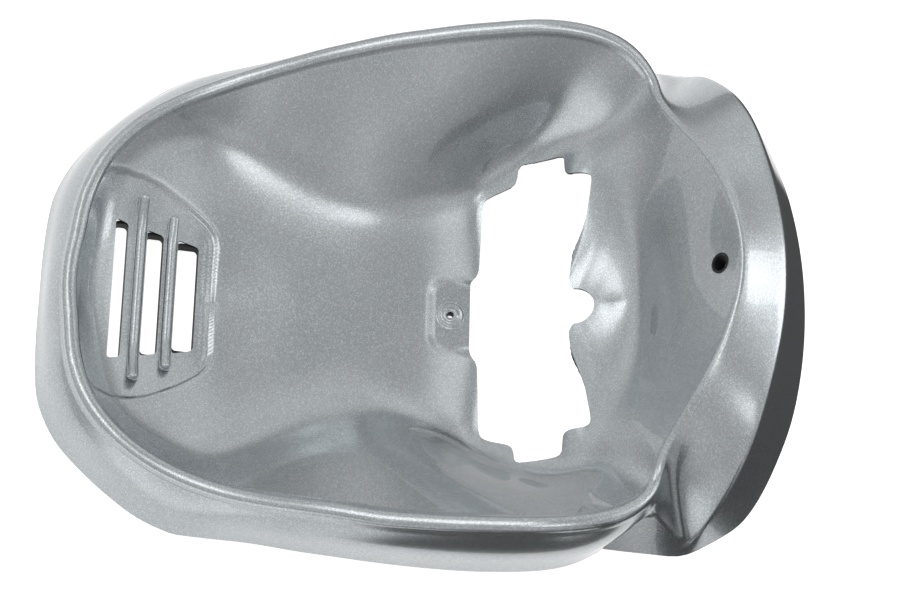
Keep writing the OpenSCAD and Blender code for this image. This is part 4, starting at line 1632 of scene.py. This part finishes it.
    def dark_card(self) -> None:
        """A black card in front of the hood, which the camera does not see and which the lacquer mirrors as a
        painted dark reflection.
        """
        left, right = self.card_side
        bm = bmesh.new()
        corners = [(left, 0.0), (right, 0.0), (right, self.card_top), (left, self.card_top)]
        bm.faces.new([bm.verts.new((x, self.card_front, CAD_BOX[0][2] + z)) for x, z in corners])
        card = finish_mesh(bm, "dark_card")
        material = bpy.data.materials.new("black_card")
        tree = bare_tree(material)
        black = add_node(tree, "ShaderNodeBsdfDiffuse", {"Color": linear(self.card_colour)}).outputs["BSDF"]
        clear = add_node(tree, "ShaderNodeBsdfTransparent").outputs["BSDF"]
        path = add_node(tree, "ShaderNodeLightPath").outputs["Is Camera Ray"]
        both = add_node(tree, "ShaderNodeMixShader", {0: path, 1: black, 2: clear})
        add_node(tree, "ShaderNodeOutputMaterial", {"Surface": both.outputs["Shader"]})
        card.data.materials.append(material)

    def world(self) -> None:
        """The room: white to the camera, and a ring of soft lights to everything else."""
        world = bpy.data.worlds.new("room")
        bpy.context.scene.world = world
        tree = bare_tree(world)
        facing = add_node(tree, "ShaderNodeTexCoord").outputs["Generated"]
        total = None
        for azimuth, elevation, width, strength in self.room_lights:
            a, e, w = math.radians(azimuth), math.radians(elevation), math.radians(width)
            middle = (math.cos(e) * math.cos(a), math.cos(e) * math.sin(a), math.sin(e))
            near = add_node(
                tree, "ShaderNodeVectorMath", {0: facing, 1: middle}, operation="DOT_PRODUCT"
            ).outputs["Value"]
            soft = self._ramp(tree, near, math.cos(self.light_reach * w), math.cos(self.light_core * w))
            light = add_node(tree, "ShaderNodeMath", {0: soft, 1: strength}, operation="MULTIPLY").outputs[0]
            if total is not None:
                light = add_node(tree, "ShaderNodeMath", {0: total, 1: light}, operation="ADD").outputs[0]
            total = light
        room = add_node(tree, "ShaderNodeBackground", {0: linear(self.room_colour), 1: total}).outputs[0]
        white = add_node(tree, "ShaderNodeBackground", {0: (1, 1, 1, 1), 1: 1.0}).outputs[0]
        path = add_node(tree, "ShaderNodeLightPath").outputs["Is Camera Ray"]
        both = add_node(tree, "ShaderNodeMixShader", {0: path, 1: room, 2: white})
        add_node(tree, "ShaderNodeOutputWorld", {0: both.outputs[0]})

    def camera(self, place: Callable[[np.ndarray], np.ndarray]) -> None:
        """The photograph's viewpoint.

        Args:
            place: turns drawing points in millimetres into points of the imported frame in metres.
        """
        data = bpy.data.cameras.new("viewpoint")
        data.sensor_width = self.sensor_mm
        data.lens = self.focal_px / self.image_width_px * self.sensor_mm
        data.clip_end = self.far_clip
        camera = bpy.data.objects.new("viewpoint", data)
        right, up = Vector(self.camera_right).normalized(), Vector(self.camera_up).normalized()
        turn = Matrix((right, up, right.cross(up))).transposed().to_4x4()
        spot = place(np.array([self.camera_at]))[0]
        camera.matrix_world = Matrix.Translation(Vector(spot)) @ turn
        bpy.context.scene.collection.objects.link(camera)
        bpy.context.scene.camera = camera


def main() -> None:
    """Builds the panel, dresses it and sets the studio."""
    logging.basicConfig(level=logging.INFO, format="%(message)s")
    skin = PanelSkin(PanelSurface(GuideCurves()))
    lacquer, raw = SilverLacquer().build(), RawPlastic().build()
    for maker, finishes in (
        (skin, (lacquer, raw)),
        (GrilleRibs(skin), (lacquer,)),
        (GrilleCollars(skin), (raw,)),
        (LipCollar(skin), (raw,)),
        (ScrewPost(skin), (raw,)),
    ):
        piece = maker.build()
        for finish in finishes:
            piece.data.materials.append(finish)
        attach(piece, "root")
        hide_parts(NODE)
        log.info("%s: %d faces", piece.name, len(piece.data.polygons))
    studio = Studio()
    studio.table()
    studio.dark_card()
    studio.side_light()
    studio.world()
    studio.camera(skin.place)
    bpy.context.scene.view_settings.view_transform = "Standard"


if __name__ == "__main__":
    main()
